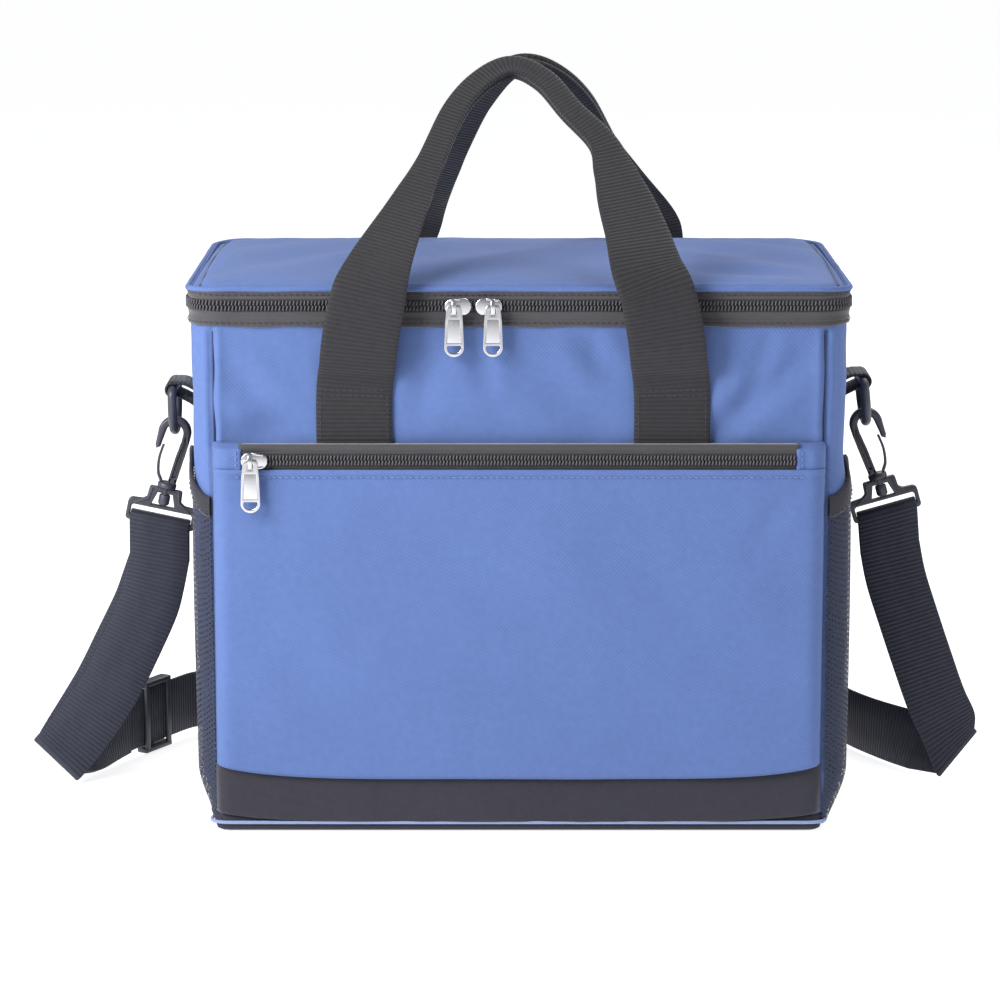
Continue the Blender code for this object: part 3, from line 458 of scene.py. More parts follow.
def rolled(x, half, radius):
    """How far x is in from a panel's ends, 0 to 1 over radius, and the height of a quarter circle there."""
    edge = np.clip((half - np.abs(x)) / radius, 0, 1)
    return edge, np.sqrt(1 - (1 - edge) ** 2)


def ripple(points, size, seed):
    """Smooth noise from -1 to 1 at each point; size is that of one wave, in metres."""
    points = np.asarray(points, float)
    flat = points.reshape(-1, 3) / size + seed
    return np.array([noise.noise(Vector(p)) for p in flat]).reshape(points.shape[:-1])


STITCH = 0.0021             # the length of one stitch, and how far the next one starts from its start
STITCH_PITCH = 0.0031
THREAD_R = 0.00024


def stitches(name, runs, finish, slot, body):
    """Rows of thread. Each run is the points that it follows and the direction that it stands out in."""
    bm = bmesh.new()
    shape = ((0.0, 0.35), (0.2, 0.9), (0.5, 1.0), (0.8, 0.9), (1.0, 0.35))
    turns = [math.tau * k / 5 for k in range(5)]
    for points, outward in runs:
        points = np.asarray(points, float)
        along = travelled(points)
        for start in np.arange(STITCH_PITCH / 2, along[-1] - STITCH, STITCH_PITCH):
            ends = [Vector([np.interp(s, along, points[:, k]) for k in range(3)])
                    for s in (start, start + STITCH)]
            ahead = (ends[1] - ends[0]).normalized()
            out = Vector(outward(ends[0]) if callable(outward) else outward)
            out = (out - ahead * out.dot(ahead)).normalized()
            across = ahead.cross(out)
            rings = []
            for share, size in shape:
                middle = ends[0].lerp(ends[1], share) + out * (THREAD_R * (size - 0.8))
                spokes = [(out * math.cos(a) + across * math.sin(a)) * (THREAD_R * size) for a in turns]
                rings.append([bm.verts.new(middle + spoke) for spoke in spokes])
            for one, two in zip(rings, rings[1:]):
                for k in range(5):
                    n = (k + 1) % 5
                    bm.faces.new((one[k], one[n], two[n], two[k]))
            bm.faces.new(rings[0])
            bm.faces.new(rings[-1])
    bmesh.ops.recalc_face_normals(bm, faces=bm.faces)
    obj = from_bmesh(name, bm, 80)
    obj.data.uv_layers.new(name=UV)
    return put(obj, body, slot, finish=finish)


# ---------------------------------------------------------------- the strap's hardware, placed as in the CAD
LOOP_X = 0.1810             # the tab loop's centre, from the bag's middle
LOOP_Z = 0.2136
RING_DROP = 0.0231          # ring's top bar to its bottom bar
RING_HALF = 0.0166
HOOK_IN, HOOK_OUT = 0.0046, 0.0087
HOOK_T = 0.0060
STEM_X = 0.0013             # the swivel's axis, in the hook's own frame
COLLAR_Z = -0.0275
SWIVEL_R = 0.0021
BAR_Z = -0.0490             # the buckle's lower bar, in the hook's own frame
BAR_R = 0.0016
BUCKLE_T = 0.0019           # half the buckle's thickness
UPRIGHT = Matrix(((1, 0, 0, 0), (0, 0, -1, 0), (0, 1, 0, 0), (0, 0, 0, 1)))


def turned(facts, degrees, centre):
    """A frame at centre, mirrored for the right side, whose lower end leans away from the bag."""
    lean = Matrix.Rotation(math.radians(degrees), 4, "Y")
    return Matrix.Translation(centre) @ Matrix.Diagonal((-facts["sign"], 1, 1, 1)) @ lean


def ring_frame(facts):
    return turned(facts, facts["ring_tilt"], Vector((facts["sign"] * LOOP_X, 0, LOOP_Z + facts["lift"])))


def hook_frame(facts):
    """The hook's own frame: from the centre of its arc, with its shaft down and the bag at +x."""
    bottom = ring_frame(facts) @ Vector((0, 0, -RING_DROP))
    lean = math.radians(facts["hook_tilt"])
    out = Vector((facts["sign"] * math.sin(lean), 0, -math.cos(lean)))
    return turned(facts, facts["hook_tilt"], bottom + out * (HOOK_IN - RING_R - 2 * GAP))


def bar_point(facts):
    """The middle of a buckle's lower bar."""
    return hook_frame(facts) @ Vector((STEM_X, 0, BAR_Z))


def bar_across(facts):
    """Half the strap's width along a buckle's bar, from its outer edge to its inner edge."""
    return (hook_frame(facts).to_3x3() @ Vector((1, 0, 0))).normalized() * (STRAP_W / 2)


# ---------------------------------------------------------------- shoulder strap
# The strap's route as (middle of the webbing, half width from its upper or outer edge to the other).
# It runs down from the left buckle, turns over at a flat fold on the floor, and stands on edge from there.
LEFT_DOWN = (
    ((-0.1903, -0.0040, 0.1225), (0.0157, 0, -0.0025)),
    ((-0.1930, -0.0050, 0.1090), (0.0155, 0, -0.0040)),
    ((-0.1966, -0.0060, 0.0957), (0.0151, 0, -0.0053)),
    ((-0.2064, -0.0070, 0.0742), (0.0144, 0, -0.0069)),
    ((-0.2165, -0.0085, 0.0540), (0.0139, 0, -0.0078)),
    ((-0.2265, -0.0100, 0.0385), (0.0133, 0, -0.0088)),
    ((-0.2372, -0.0115, 0.0240), (0.0124, 0, -0.0100)),
)
LEFT_FOLD = ((-0.2448, -0.0100, 0.0152), (0.0113, 0, -0.0113))
UPRIGHT_HALF = (0, 0, -0.0160)
BEHIND = (
    ((-0.2345, 0.0060, 0.0160), (0.0076, 0, -0.0141)),
    ((-0.2235, 0.0235, 0.0180), (0.0026, 0, -0.0157)),
    ((-0.2130, 0.0400, 0.0196), (0.0002, 0, -0.0160)),
    *(((x, y, z), UPRIGHT_HALF) for x, y, z in (
        (-0.2025, 0.0570, 0.0200), (-0.1925, 0.0740, 0.0200), (-0.1822, 0.0911, 0.0197),
        (-0.1690, 0.1060, 0.0178), (-0.1480, 0.1130, 0.0170), (-0.1200, 0.1145, 0.0170),
        (0.0000, 0.1150, 0.0170), (0.1200, 0.1145, 0.0170), (0.1480, 0.1130, 0.0170),
        (0.1670, 0.1010, 0.0170), (0.1775, 0.0800, 0.0170), (0.1870, 0.0570, 0.0170))),
    ((0.2000, 0.0350, 0.0168), (-0.0010, 0, -0.0160)),
    ((0.2165, 0.0140, 0.0164), (-0.0045, 0, -0.0153)),
)
BEHIND_MIDDLE = 9           # the station where the strap's two halves meet
RIGHT_FOLD = ((0.2352, -0.0020, 0.0150), (-0.0098, 0, -0.0127))
RIGHT_UP = (
    ((0.2312, -0.0040, 0.0290), (-0.0134, 0, -0.0088)),
    ((0.2238, -0.0050, 0.0447), (-0.0146, 0, -0.0066)),
    ((0.2162, -0.0050, 0.0656), (-0.0151, 0, -0.0053)),
    ((0.2083, -0.0045, 0.0886), (-0.0151, 0, -0.0051)),
    ((0.2012, -0.0040, 0.1105), (-0.0155, 0, -0.0040)),
    ((0.1975, -0.0036, 0.1280), (-0.0155, 0, -0.0040)),
)
WRAP_R = math.hypot(BAR_R, BUCKLE_T) + GAP + STRAP_T / 2
LAYER = STRAP_T + 0.0006    # from the middle of one layer of webbing to the middle of the next
FOLD_R = 0.0034             # the outer layer's turn at the fold on the left
SLIP = 0.0038               # how far the second layer shows beside the first
FINE = 2                    # route points are this many times closer than in the CAD


def station(spec):
    """A (middle, half width) pair as vectors."""
    return Vector(spec[0]), Vector(spec[1])


def flat_fold(spec, radius, outwards):
    """The webbing turned over round a fold line: half a turn, from the near to the far layer."""
    middle, half = station(spec)
    near = Vector((0, -1, 0))
    away = Vector((outwards, 0, -1)).normalized()
    away = (away - half.normalized() * away.dot(half.normalized())).normalized()
    turns = [math.pi * k / (6 * FINE) for k in range(6 * FINE + 1)]
    return [(middle + (near * math.cos(a) + away * math.sin(a)) * radius, half) for a in turns]


def over_bar(facts, start, end, steps):
    """The webbing round a buckle's bar. Angles are from straight in front, through the top, to behind."""
    middle, half = bar_point(facts), bar_across(facts)
    up = Vector((0, 1, 0)).cross(half).normalized()
    up = up if up.z > 0 else -up
    near = Vector((0, -1, 0))
    angles = [math.radians(start + (end - start) * i / steps) for i in range(steps + 1)]
    return [(middle + (near * math.cos(a) + up * math.sin(a)) * WRAP_R, half) for a in angles]


def smooth(stations, steps):
    """A smooth stretch of webbing through a few stations."""
    middles = catmull([m for m, _ in stations], steps * FINE)
    halves = catmull([h for _, h in stations], steps * FINE)
    return list(zip(middles, halves))


def left_route():
    """From the left buckle's bar to the right fold, without the turn round the bar."""
    fold = flat_fold(LEFT_FOLD, FOLD_R, -1)
    down = smooth([*(station(s) for s in LEFT_DOWN), fold[0]], 2)
    return down + fold[1:] + smooth([fold[-1], *(station(s) for s in BEHIND)], 4)[1:]


def main_route():
    """Left buckle to right buckle, with the sewn end turned down behind the right buckle's bar."""
    fold = flat_fold(RIGHT_FOLD, 0.0016, 1)[::-1]
    up = smooth([fold[-1], *(station(s) for s in RIGHT_UP)], 3)
    route = over_bar(SIDES["left"], 150, 0, 12) + left_route() + fold[:-1] + up
    route += over_bar(SIDES["right"], 0, 180, 12)
    sewn = [(middle + Vector((0, LAYER + 0.0003, 0)), half) for middle, half in up[-1:-11:-1]]
    return route + sewn


def return_route():
    """Left buckle, behind the first layer, back to the adjuster."""
    front = left_route()
    down = 2 * FINE * len(LEFT_DOWN)
    last = down + (6 + 4 * 3) * FINE
    route = []
    for i, (middle, half) in enumerate(front[:last]):
        before, after = front[max(i - 1, 0)][0], front[i + 1][0]
        normal = (after - before).cross(half).normalized()
        share = min(i / down, 1.0)
        slip = half.normalized() * (SLIP * 4 * share * (1 - share))
        route.append((middle - normal * LAYER - slip, half))
    return over_bar(SIDES["left"], 168, 190, 1) + route


def ribbon_points(stations, width, thick):
    """Sections of webbing with rounded edges through stations of (middle, half width)."""
    sections = []
    for i, (middle, half) in enumerate(stations):
        before, after = stations[max(i - 1, 0)][0], stations[min(i + 1, len(stations) - 1)][0]
        normal = (after - before).cross(half).normalized() * (thick / 2)
        half = half.normalized() * (width / 2)
        edge = 1 - thick / width * 0.8
        shape = ((-edge, 1), (-edge / 3, 1), (edge / 3, 1), (edge, 1), (1, 0.45), (1, -0.45),
                 (edge, -1), (edge / 3, -1), (-edge / 3, -1), (-edge, -1), (-1, -0.45), (-1, 0.45))
        sections.append([middle + half * a + normal * b for a, b in shape])
    return sections


def strap(name, stations, body, exit_point, *nodes):
    """One length of webbing between the bag and the strap end that it hangs from."""
    middle = stations[len(stations) // 2][0]
    obj = grid(name, ribbon_points(stations, STRAP_W, STRAP_T), wrap=True, inside=middle, caps=True)
    put(obj, None, "black_webbing", *nodes, finish=STRAP_WEB)
    facts = SIDES["left" if body.startswith("left") else "right"]
    bar_point(facts).z - 0.012
    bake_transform(obj)
    path = [m for m, _ in stations]
    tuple(exit_point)


def straps():
    """One length of webbing, in two halves that meet behind the bag."""
    route = main_route()
    meet = min(range(len(route)), key=lambda i: (route[i][0] - Vector(BEHIND[BEHIND_MIDDLE][0])).length)
    left = bar_point(SIDES["left"])
    strap("shoulder_strap_left", route[:meet + 1], "left_strap_end", left, "shoulder_strap")
    strap("shoulder_strap_right", route[meet:], "right_strap_end", route[-1][0])
    strap("strap_return_layer", return_route(), "left_strap_end", left, "strap_return")


straps()


# ---------------------------------------------------------------- the bag's plan outline
COLUMN_STEP = 0.003         # from one column of points to the next, along a straight stretch


def face(sign_y, start, end, step):
    """Columns along the front or back: x, y, the outward direction and the distance to the seam."""
    xs = np.linspace(start, end, max(2, round(abs(end - start) / step) + 1))
    return [(x, sign_y * HALF_D, 0, sign_y, FLAT_X - abs(x) + CORNER_R * SEAM) for x in xs]


def flank(sign_x, start, end, step):
    """Columns along one side."""
    ys = np.linspace(start, end, max(2, round(abs(end - start) / step) + 1))
    return [(sign_x * HALF_W, y, sign_x, 0, FLAT_Y - abs(y) + CORNER_R * (math.pi / 2 - SEAM)) for y in ys]


def corner(sign_x, sign_y, start, end, steps=20):
    """Columns round a vertical corner, angles in degrees from the front or back face to the side."""
    columns = []
    for k in range(1, steps):
        a = math.radians(start + (end - start) * k / steps)
        nx, ny = sign_x * math.sin(a), sign_y * math.cos(a)
        columns.append((sign_x * FLAT_X + CORNER_R * nx, sign_y * FLAT_Y + CORNER_R * ny, nx, ny,
                        CORNER_R * abs(a - SEAM)))
    return columns


def whole_ring(step=COLUMN_STEP, steps=20):
    """All round the bag, from the left end of the front."""
    return np.array(face(-1, -FLAT_X, FLAT_X, step) + corner(1, -1, 0, 90, steps)
                    + flank(1, -FLAT_Y, FLAT_Y, step) + corner(1, 1, 90, 0, steps)
                    + face(1, FLAT_X, -FLAT_X, step) + corner(-1, 1, 0, 90, steps)
                    + flank(-1, FLAT_Y, -FLAT_Y, step) + corner(-1, -1, 90, 0, steps))


def zip_ring():
    """Left side, front and right side, where the main zip runs."""
    end_y = FLAT_Y - 0.004
    return np.array(flank(-1, end_y, -FLAT_Y, COLUMN_STEP) + corner(-1, -1, 90, 0)
                    + face(-1, -FLAT_X, FLAT_X, COLUMN_STEP)
                    + corner(1, -1, 0, 90) + flank(1, -FLAT_Y, end_y, COLUMN_STEP))


def side_ring(sign_x):
    """One side from seam to seam, round both its corners."""
    seam_shade = math.degrees(SEAM)
    return np.array(corner(sign_x, -1, seam_shade - 0.5, 90, 14) + flank(sign_x, -FLAT_Y, FLAT_Y, COLUMN_STEP)
                    + corner(sign_x, 1, 90, seam_shade - 0.5, 14))


def raise_up(columns, profile, wobble=None):
    """Rows of points: each is the columns at (distance out, height), with wobble(columns, row) added."""
    rows = []
    for k, (out, z) in enumerate(profile):
        extra_out, extra_z = wobble(columns, k) if wobble else (0.0, 0.0)
        x, y, nx, ny = columns[:, :4].T
        rows.append(stack(x + nx * (out + extra_out), y + ny * (out + extra_out), z + extra_z))
    return np.array(rows)


# Soft folds as (x, z of one end, x, z of the other, half width, depth): above the pocket, on the lid
# (x and y there), and on the pocket.
UPPER_FOLDS = ((0.140, 0.242, 0.096, 0.206, 0.0060, 0.0026), (0.124, 0.254, 0.112, 0.222, 0.0045, 0.0016),
               (-0.024, 0.256, -0.016, 0.232, 0.0050, 0.0020), (0.030, 0.258, 0.044, 0.238, 0.0060, 0.0016),
               (-0.150, 0.206, -0.112, 0.207, 0.0085, 0.0027), (-0.146, 0.240, -0.120, 0.214, 0.0065, 0.0020),
               (0.004, 0.236, 0.040, 0.214, 0.0080, 0.0014), (-0.046, 0.250, -0.050, 0.218, 0.0060, 0.0014))
LID_FOLDS = ((-0.155, -0.070, -0.060, 0.040, 0.0130, 0.0022), (-0.150, 0.020, -0.100, 0.075, 0.0110, 0.0018),
             (-0.040, -0.030, 0.020, 0.050, 0.0160, 0.0026), (0.060, 0.050, 0.155, -0.060, 0.0130, 0.0022),
             (0.090, -0.070, 0.150, -0.080, 0.0090, 0.0016), (0.100, 0.070, 0.156, 0.020, 0.0110, 0.0018))
POCKET_FOLDS = ((-0.060, 0.168, 0.010, 0.120, 0.0150, 0.0007), (0.050, 0.150, 0.110, 0.090, 0.0160, 0.0007),
                (-0.130, 0.120, -0.095, 0.060, 0.0120, 0.0006), (0.136, 0.178, 0.118, 0.150, 0.0060, 0.0007),
                (-0.140, 0.176, -0.118, 0.158, 0.0060, 0.0006), (-0.010, 0.075, 0.060, 0.050, 0.0130, 0.0006))


def folds(x, z, specs):
    """How far soft folds move the cloth out: a valley with a ridge on either side."""
    total = np.zeros(np.broadcast(x, z).shape)
    for x0, z0, x1, z1, wide, deep in specs:
        dx, dz = x1 - x0, z1 - z0
        share = np.clip(((x - x0) * dx + (z - z0) * dz) / (dx * dx + dz * dz), 0, 1)
        far = np.hypot(x - x0 - share * dx, z - z0 - share * dz) / wide
        fade = 1 - 0.6 * np.abs(2 * share - 1)
        total += deep * fade * (0.55 * np.exp(-(far - 1.9) ** 2) - np.exp(-far ** 2))
    return total


def side_push(facts, z):
    """How far the side stands out behind its pocket; it draws in again towards the bottom."""
    return facts["push"] * ease((0.195 - z) / 0.03) - facts["taper"] * ease((0.16 - z) / 0.15)


def tuck(nx, z):
    """How far the sides are drawn in near the floor, where their cloth turns under to the base seam."""
    return 0.0125 * nx * nx * np.clip(1 - z / 0.030, 0, 1) ** 1.6


def body_shell():
    """The bag's outer cloth, one lofted sheet that is drawn in at its seams and along the zip."""
    columns = whole_ring()
    heights = np.concatenate([np.linspace(0.0030, 0.2300, 76), np.linspace(0.2325, BODY_TOP, 22)])
    x, y, nx, ny, seam_shade = (columns[None, :, k] for k in range(5))
    z = heights[:, None]
    place = stack(x, y, z)
    below_zip = np.maximum(ZIP_Z - 0.0090 - z, 0)
    front = ny < -0.5
    out = -0.0020 * bell(seam_shade, 0.0013) + 0.0011 * bell(seam_shade - 0.0038, 0.0018) * ease((z - 0.196) / 0.008)
    out = out + 0.0010 * ripple(place, 0.050, 3.0) + 0.0005 * ripple(place, 0.020, 11.0)
    pucker = np.exp(-below_zip / 0.014) * ease(below_zip / 0.004)
    out = out + 0.0009 * pucker * ripple(place * (1, 1, 0.25), 0.0085, 5.0)
    out = out + np.where(front, folds(x, z, UPPER_FOLDS), 0.0)
    near_seam = np.exp(-seam_shade / 0.010) * ease(seam_shade / 0.002)
    out = out + 0.0006 * near_seam * ripple(place * (0.3, 0.3, 1), 0.011, 8.0)
    calm = ease(below_zip / 0.006) * ease((z - 0.003) / 0.02)
    bow = np.cos(np.clip(y / FLAT_Y, -1, 1) * math.pi / 2) * np.abs(nx)
    out = out * calm + 0.0006 * bow * calm - 0.0004
    out = out + np.abs(nx) * np.where(x < 0, side_push(SIDES["left"], z), side_push(SIDES["right"], z))
    out = out - tuck(nx, z)
    shell = grid("body_shell", stack(x + nx * out, y + ny * out, z), wrap=True, thick=0.0008)
    put(shell, "bag", "blue_twill", "front_panel", "back_panel", "left_side_panel", "right_side_panel")


def tub(name, outs, slot, body, *nodes, inward, thick=0.0, crinkle=0.0):
    """Closed rings of (distance out, height) round the bag, as a wall."""
    columns = whole_ring(0.006, 8)

    def wobble(columns, k):
        return crinkle * ripple(stack(columns[:, 0], columns[:, 1], outs[k][1]), 0.018, 2.0), 0.0

    obj = grid(name, raise_up(columns, outs, wobble if crinkle else None), wrap=True, inward=inward,
               thick=thick)
    return put(obj, body, slot, *nodes)


def seams():
    """A dark tube in each side seam where the front and back panels meet the sides: painted shade of the
    seam's groove.
    """
    for side, facts in SIDES.items():
        for end, sign_y in (("front", -1), ("back", 1)):
            low = 0.2020 if sign_y < 0 else 0.1800
            x = facts["sign"] * (FLAT_X + (CORNER_R - 0.0016) * math.sin(SEAM))
            y = sign_y * (FLAT_Y + (CORNER_R - 0.0016) * math.cos(SEAM))
            path = [(x, y, z) for z in np.linspace(low, 0.2580, 12)]
            # painted shade: a thin dark blue tube stands for the shadow in the seam's groove
            put(tube(f"{side}_{end}_seam", path, 0.00055), "bag", "blue_twill", finish=SEAM_SHADE)


def wall_foam():
    """The foam between the cloth and the liner, on all four sides."""
    top = BODY_TOP - 0.0014
    outer, inner, foot = -0.0043, -0.0056, 0.018
    foam = tub("wall_foam", [(outer, foot), (outer, top), (inner, top), (inner, foot), (outer, foot)],
               "foam", "bag", "front_foam", "back_foam", "left_foam", "right_foam", inward=False)


def liner():
    """The welded foil liner with its floor and weld, and the tape that binds the rim."""
    low, film, bend = 0.0092, -0.0068, 0.010
    wall = [(film, z) for z in np.linspace(BODY_TOP - 0.0012, low + bend, 40)]
    turn = [(film - bend * (1 - math.cos(a)), low + bend * (1 - math.sin(a)))
            for a in np.linspace(0.2, math.pi / 2, 8)]
    across = [(film - bend - d, low) for d in np.linspace(0.002, 0.082, 24)]
    tub("liner_film", wall + turn + across, "foil_liner", "bag", "liner", inward=True, crinkle=0.0007)
    xs, ys = np.linspace(-0.15, 0.15, 60), np.linspace(-0.088, 0.088, 36)
    middle = grid("liner_floor", stack(xs[None, :], ys[:, None], low + 0.0002), inside=(0, 0, -1))
    put(middle, "bag", "foil_liner")
    rim = [(out, BODY_TOP - drop) for out, drop in (
        (-0.0010, 0.0040), (-0.0010, 0.0006), (-0.0020, 0.0001), (-0.0070, 0.0001), (-0.0082, 0.0008),
        (-0.0086, 0.0100), (-0.0076, 0.0104))]
    tub("rim_binding", rim, "black_twill", "bag", inward=False)
    weld = [(-0.0072, 0.020), (-0.0080, 0.0203), (-0.0080, 0.0227), (-0.0072, 0.023)]
    tub("liner_weld", weld, "foil_liner", "bag", inward=True)


# ---------------------------------------------------------------- front pocket, its zip and the band below
HEM_Z = POCKET_ZIP_Z - 0.0086       # the stitched hem below the pocket's zip
POCKET_ROLL = 0.0085        # how far from its ends the pocket starts to roll in


def pocket_low(x):
    """The pocket's lower edge, drawn up a little at both ends."""
    return 0.0288 + 0.0058 * np.abs(x / POCKET_HALF_W) ** 6


def pocket_panel():
    """The pocket's front: rolled into the side seams, folded to a hem along the zip."""
    across = np.sin(np.linspace(-1, 1, 121) * math.pi / 2) * 0.35 + np.linspace(-1, 1, 121) * 0.65
    x = POCKET_EDGE * across[None, :]
    low, high = pocket_low(x), POCKET_ZIP_Z - 0.0052
    share = np.linspace(0, 1, 78)[:, None]
    z = low + (high - low) * share
    round_off = rolled(x, POCKET_EDGE, POCKET_ROLL)[1]
    fullness = 0.0057 + 0.0020 * ease((z - 0.028) / 0.06)
    place = stack(x, 0, z)
    soft = folds(x, z, POCKET_FOLDS) + 0.0006 * ripple(place, 0.055, 21.0)
    soft = soft + 0.0003 * ripple(place, 0.016, 4.0)
    hem = z - HEM_Z
    proud = 0.0009 * ease(hem / 0.0012) - 0.0009 * bell(hem, 0.0009)
    pulled = 0.0004 * np.exp(-np.abs(hem) / 0.006) * ripple(place, 0.006, 9.0)
    base = 0.0006 * ease((z - low) / 0.003)
    depth = 0.1001 + round_off * (fullness + base + soft * ease((high - z) / 0.02)) + proud + pulled
    turn = [stack(x[0], back - depth[-1], z[-1] + up) for back, up in ((0.0002, 0.0004), (0.0007, 0.0002))]
    panel = grid("pocket_panel", np.concatenate([stack(x, -depth, z), turn]), thick=0.0006)
    put(panel, "bag", "blue_twill", "front_pocket")
    run = stack(x[0], -depth[-1] + 0.0004, HEM_Z)
    stitches("pocket_topstitch", [(run[6:-6], (0, -1, 0))], THREAD, "blue_twill", "bag")


def front_band():
    """The dark band under the pocket, taken round at both ends into the seams."""
    half = POCKET_EDGE + 0.0004
    x = half * np.linspace(-1, 1, 100)[None, :]
    z = np.linspace(0.0056, 0.0312, 16)[:, None] + 0.0040 * np.abs(x / POCKET_HALF_W) ** 6
    edge, round_off = rolled(x, half, 0.0095)
    swell = np.sin(np.clip((z - 0.001) / 0.030, 0, 1) * math.pi)
    place = stack(x, 0, z)
    depth = 0.0998 + round_off * (0.0030 + 0.0012 * swell)
    depth = depth + edge * (0.0005 * ripple(place, 0.024, 7.0) + 0.0003 * ripple(place, 0.009, 1.0))
    put(grid("front_band", stack(x, -depth, z), thick=0.0008), "bag", "black_twill", "lower_front_band")


TOOTH_LEAN = 14             # degrees


def teeth(name, columns, z, out, direction, body, node, pitch):
    """A row of zip teeth: each leans a little and reaches over the middle, between two of the other row."""
    along = travelled(columns[:, :2])
    bm = bmesh.new()
    places = np.arange(pitch * (1 if direction > 0 else 1.5), along[-1] - pitch, pitch)
    lean = Matrix.Rotation(math.radians(TOOTH_LEAN), 4, "Y")
    for s in places:
        x, y, nx, ny = (np.interp(s, along, columns[:, k]) for k in range(4))
        long = math.hypot(nx, ny)
        nx, ny = nx / long, ny / long
        here = Matrix(((-ny, -nx, 0, x + nx * out), (nx, -ny, 0, y + ny * out), (0, 0, 1, z), (0, 0, 0, 1)))
        middle = Matrix.Translation((0, 0, direction * 0.0013))
        size = Matrix.Diagonal((pitch * 0.52, 0.0013, 0.0027, 1))
        bmesh.ops.create_cube(bm, size=1.0, matrix=here @ lean @ middle @ size)
    bmesh.ops.bevel(bm, geom=bm.edges, offset=0.00028, segments=1, profile=0.5, affect="EDGES")
    put(from_bmesh(name, bm, 60), body, "zip_teeth", node)


def tape(name, columns, profile, body, node, wander=0.0):
    """A zip tape: rows of (distance out, height) along the columns, with an edge that wanders a little."""
    def wobble(columns, k):
        place = stack(columns[:, 0], columns[:, 1], 0)
        free = 1.0 if k < 3 else 0.25
        return 0.0002 * ripple(place, 0.012, 6.0), wander * free * ripple(place, 0.020, 5.0)

    put(grid(name, raise_up(columns, profile, wobble), thick=0.0005), body, "zip_tape", node)


def tape_profile(out, z, direction, wide):
    """A tape's section from its free edge to the teeth, with a selvedge, two stitch grooves and a cord."""
    spots = ((wide, -0.0002), (wide - 0.0003, 0.0004), (wide - 0.0014, 0.0005), (wide - 0.0020, 0.0001),
             (wide - 0.0026, 0.0005), (wide - 0.0036, 0.0004), (wide - 0.0041, 0.0001), (0.0044, 0.0004),
             (0.0038, 0.0007), (0.0031, 0.0006), (0.0027, 0.0001), (0.0002, 0.0001))
    return [(out + lift, z + direction * reach) for reach, lift in spots]


def main_zip():
    """The two halves of the main zip, on the body and on the lid, with the stitching along their tapes."""
    columns = zip_ring()
    for half, body, direction, wide, wander in (("body", "bag", -1, 0.0108, 0.0008),
                                                ("lid", "lid", 1, 0.0069, 0.0)):
        profile = tape_profile(0.0006, ZIP_Z, direction, wide)
        tape(f"{half}_zip_cloth", columns, profile, body, f"{half}_zip_tape", wander)
    for half, body, direction in (("body", "bag", -1), ("lid", "lid", 1)):
        teeth(f"{half}_zip_row", columns, ZIP_Z, 0.0015, direction, body, f"{half}_zip_teeth", 0.0018)
    for half, body, drop in (("body", "bag", -0.0088), ("lid", "lid", 0.0054)):
        run = raise_up(columns, [(0.0013, ZIP_Z + drop)])[0]
        stitches(f"{half}_zip_stitching", [(run, outward_of_bag)], DARK_THREAD, "zip_tape", body)


def outward_of_bag(p):
    """Straight out of the front or back, and mostly so round the corners."""
    return p.x * 0.2 if abs(p.x) > FLAT_X else 0, p.y, 0


ZIP_HALF = POCKET_HALF_W - 0.0094   # half the length of the pocket's zip


def pocket_zip():
    """Two flat tapes with their teeth, the upper one turned in over the pocket's mouth."""
    columns = np.array([(x, POCKET_FRONT, 0, -1, 0) for x in np.linspace(-ZIP_HALF, ZIP_HALF, 110)])
    z = POCKET_ZIP_Z
    low = tape_profile(-0.0012, z, -1, 0.0070)[2:]
    high = [(out, z + up) for out, up in (
        (-0.0064, 0.0074), (-0.0030, 0.0076), (-0.0008, 0.0073), (0.0, 0.0066), (0.0001, 0.0056),
        (-0.0003, 0.0050), (0.0, 0.0044))]
    high += tape_profile(-0.0006, z, 1, 0.0070)[7:]
    tape("pocket_zip_low", columns, low, "bag", "pocket_zip_lower_tape")
    tape("pocket_zip_high", columns, high, "bag", "pocket_zip_upper_tape")
    for name, which, direction in (("low", "lower", -1), ("high", "upper", 1)):
        teeth(f"pocket_zip_{name}_row", columns, z, 0.0009, direction, "bag",
              f"pocket_zip_{which}_teeth", 0.0017)


def pocket_zip_ends():
    """The cloth tab at each end of the pocket's zip, with its row of thread."""
    z = POCKET_ZIP_Z
    for side, facts in SIDES.items():
        sign = facts["sign"]
        x = sign * np.linspace(ZIP_HALF - 0.0016, POCKET_EDGE, 18)[None, :]
        tall = np.linspace(-0.0056, 0.0080, 16)[:, None]
        lip = bell(np.abs(x) - ZIP_HALF, 0.0012)
        soft = 0.0003 * ripple(stack(x, 0, z + tall), 0.006, 2.0)
        depth = 0.1003 + rolled(x, POCKET_EDGE, POCKET_ROLL)[1] * 0.0079 + 0.0006 * lip + soft
        depth = depth - 0.0050 * ease((tall - 0.0050) / 0.003)
        end = grid(f"{side}_pocket_zip_end", stack(x, -depth, z + tall), thick=0.0006)
        put(end, "bag", "blue_twill", f"{side}_pocket_end_tab")
        run = [(sign * (ZIP_HALF + 0.0012), -0.1090, z + up) for up in (-0.0052, 0.0052)]
        stitches(f"{side}_zip_end_stitching", [(run, (0, -1, 0))], THREAD, "blue_twill", "bag")


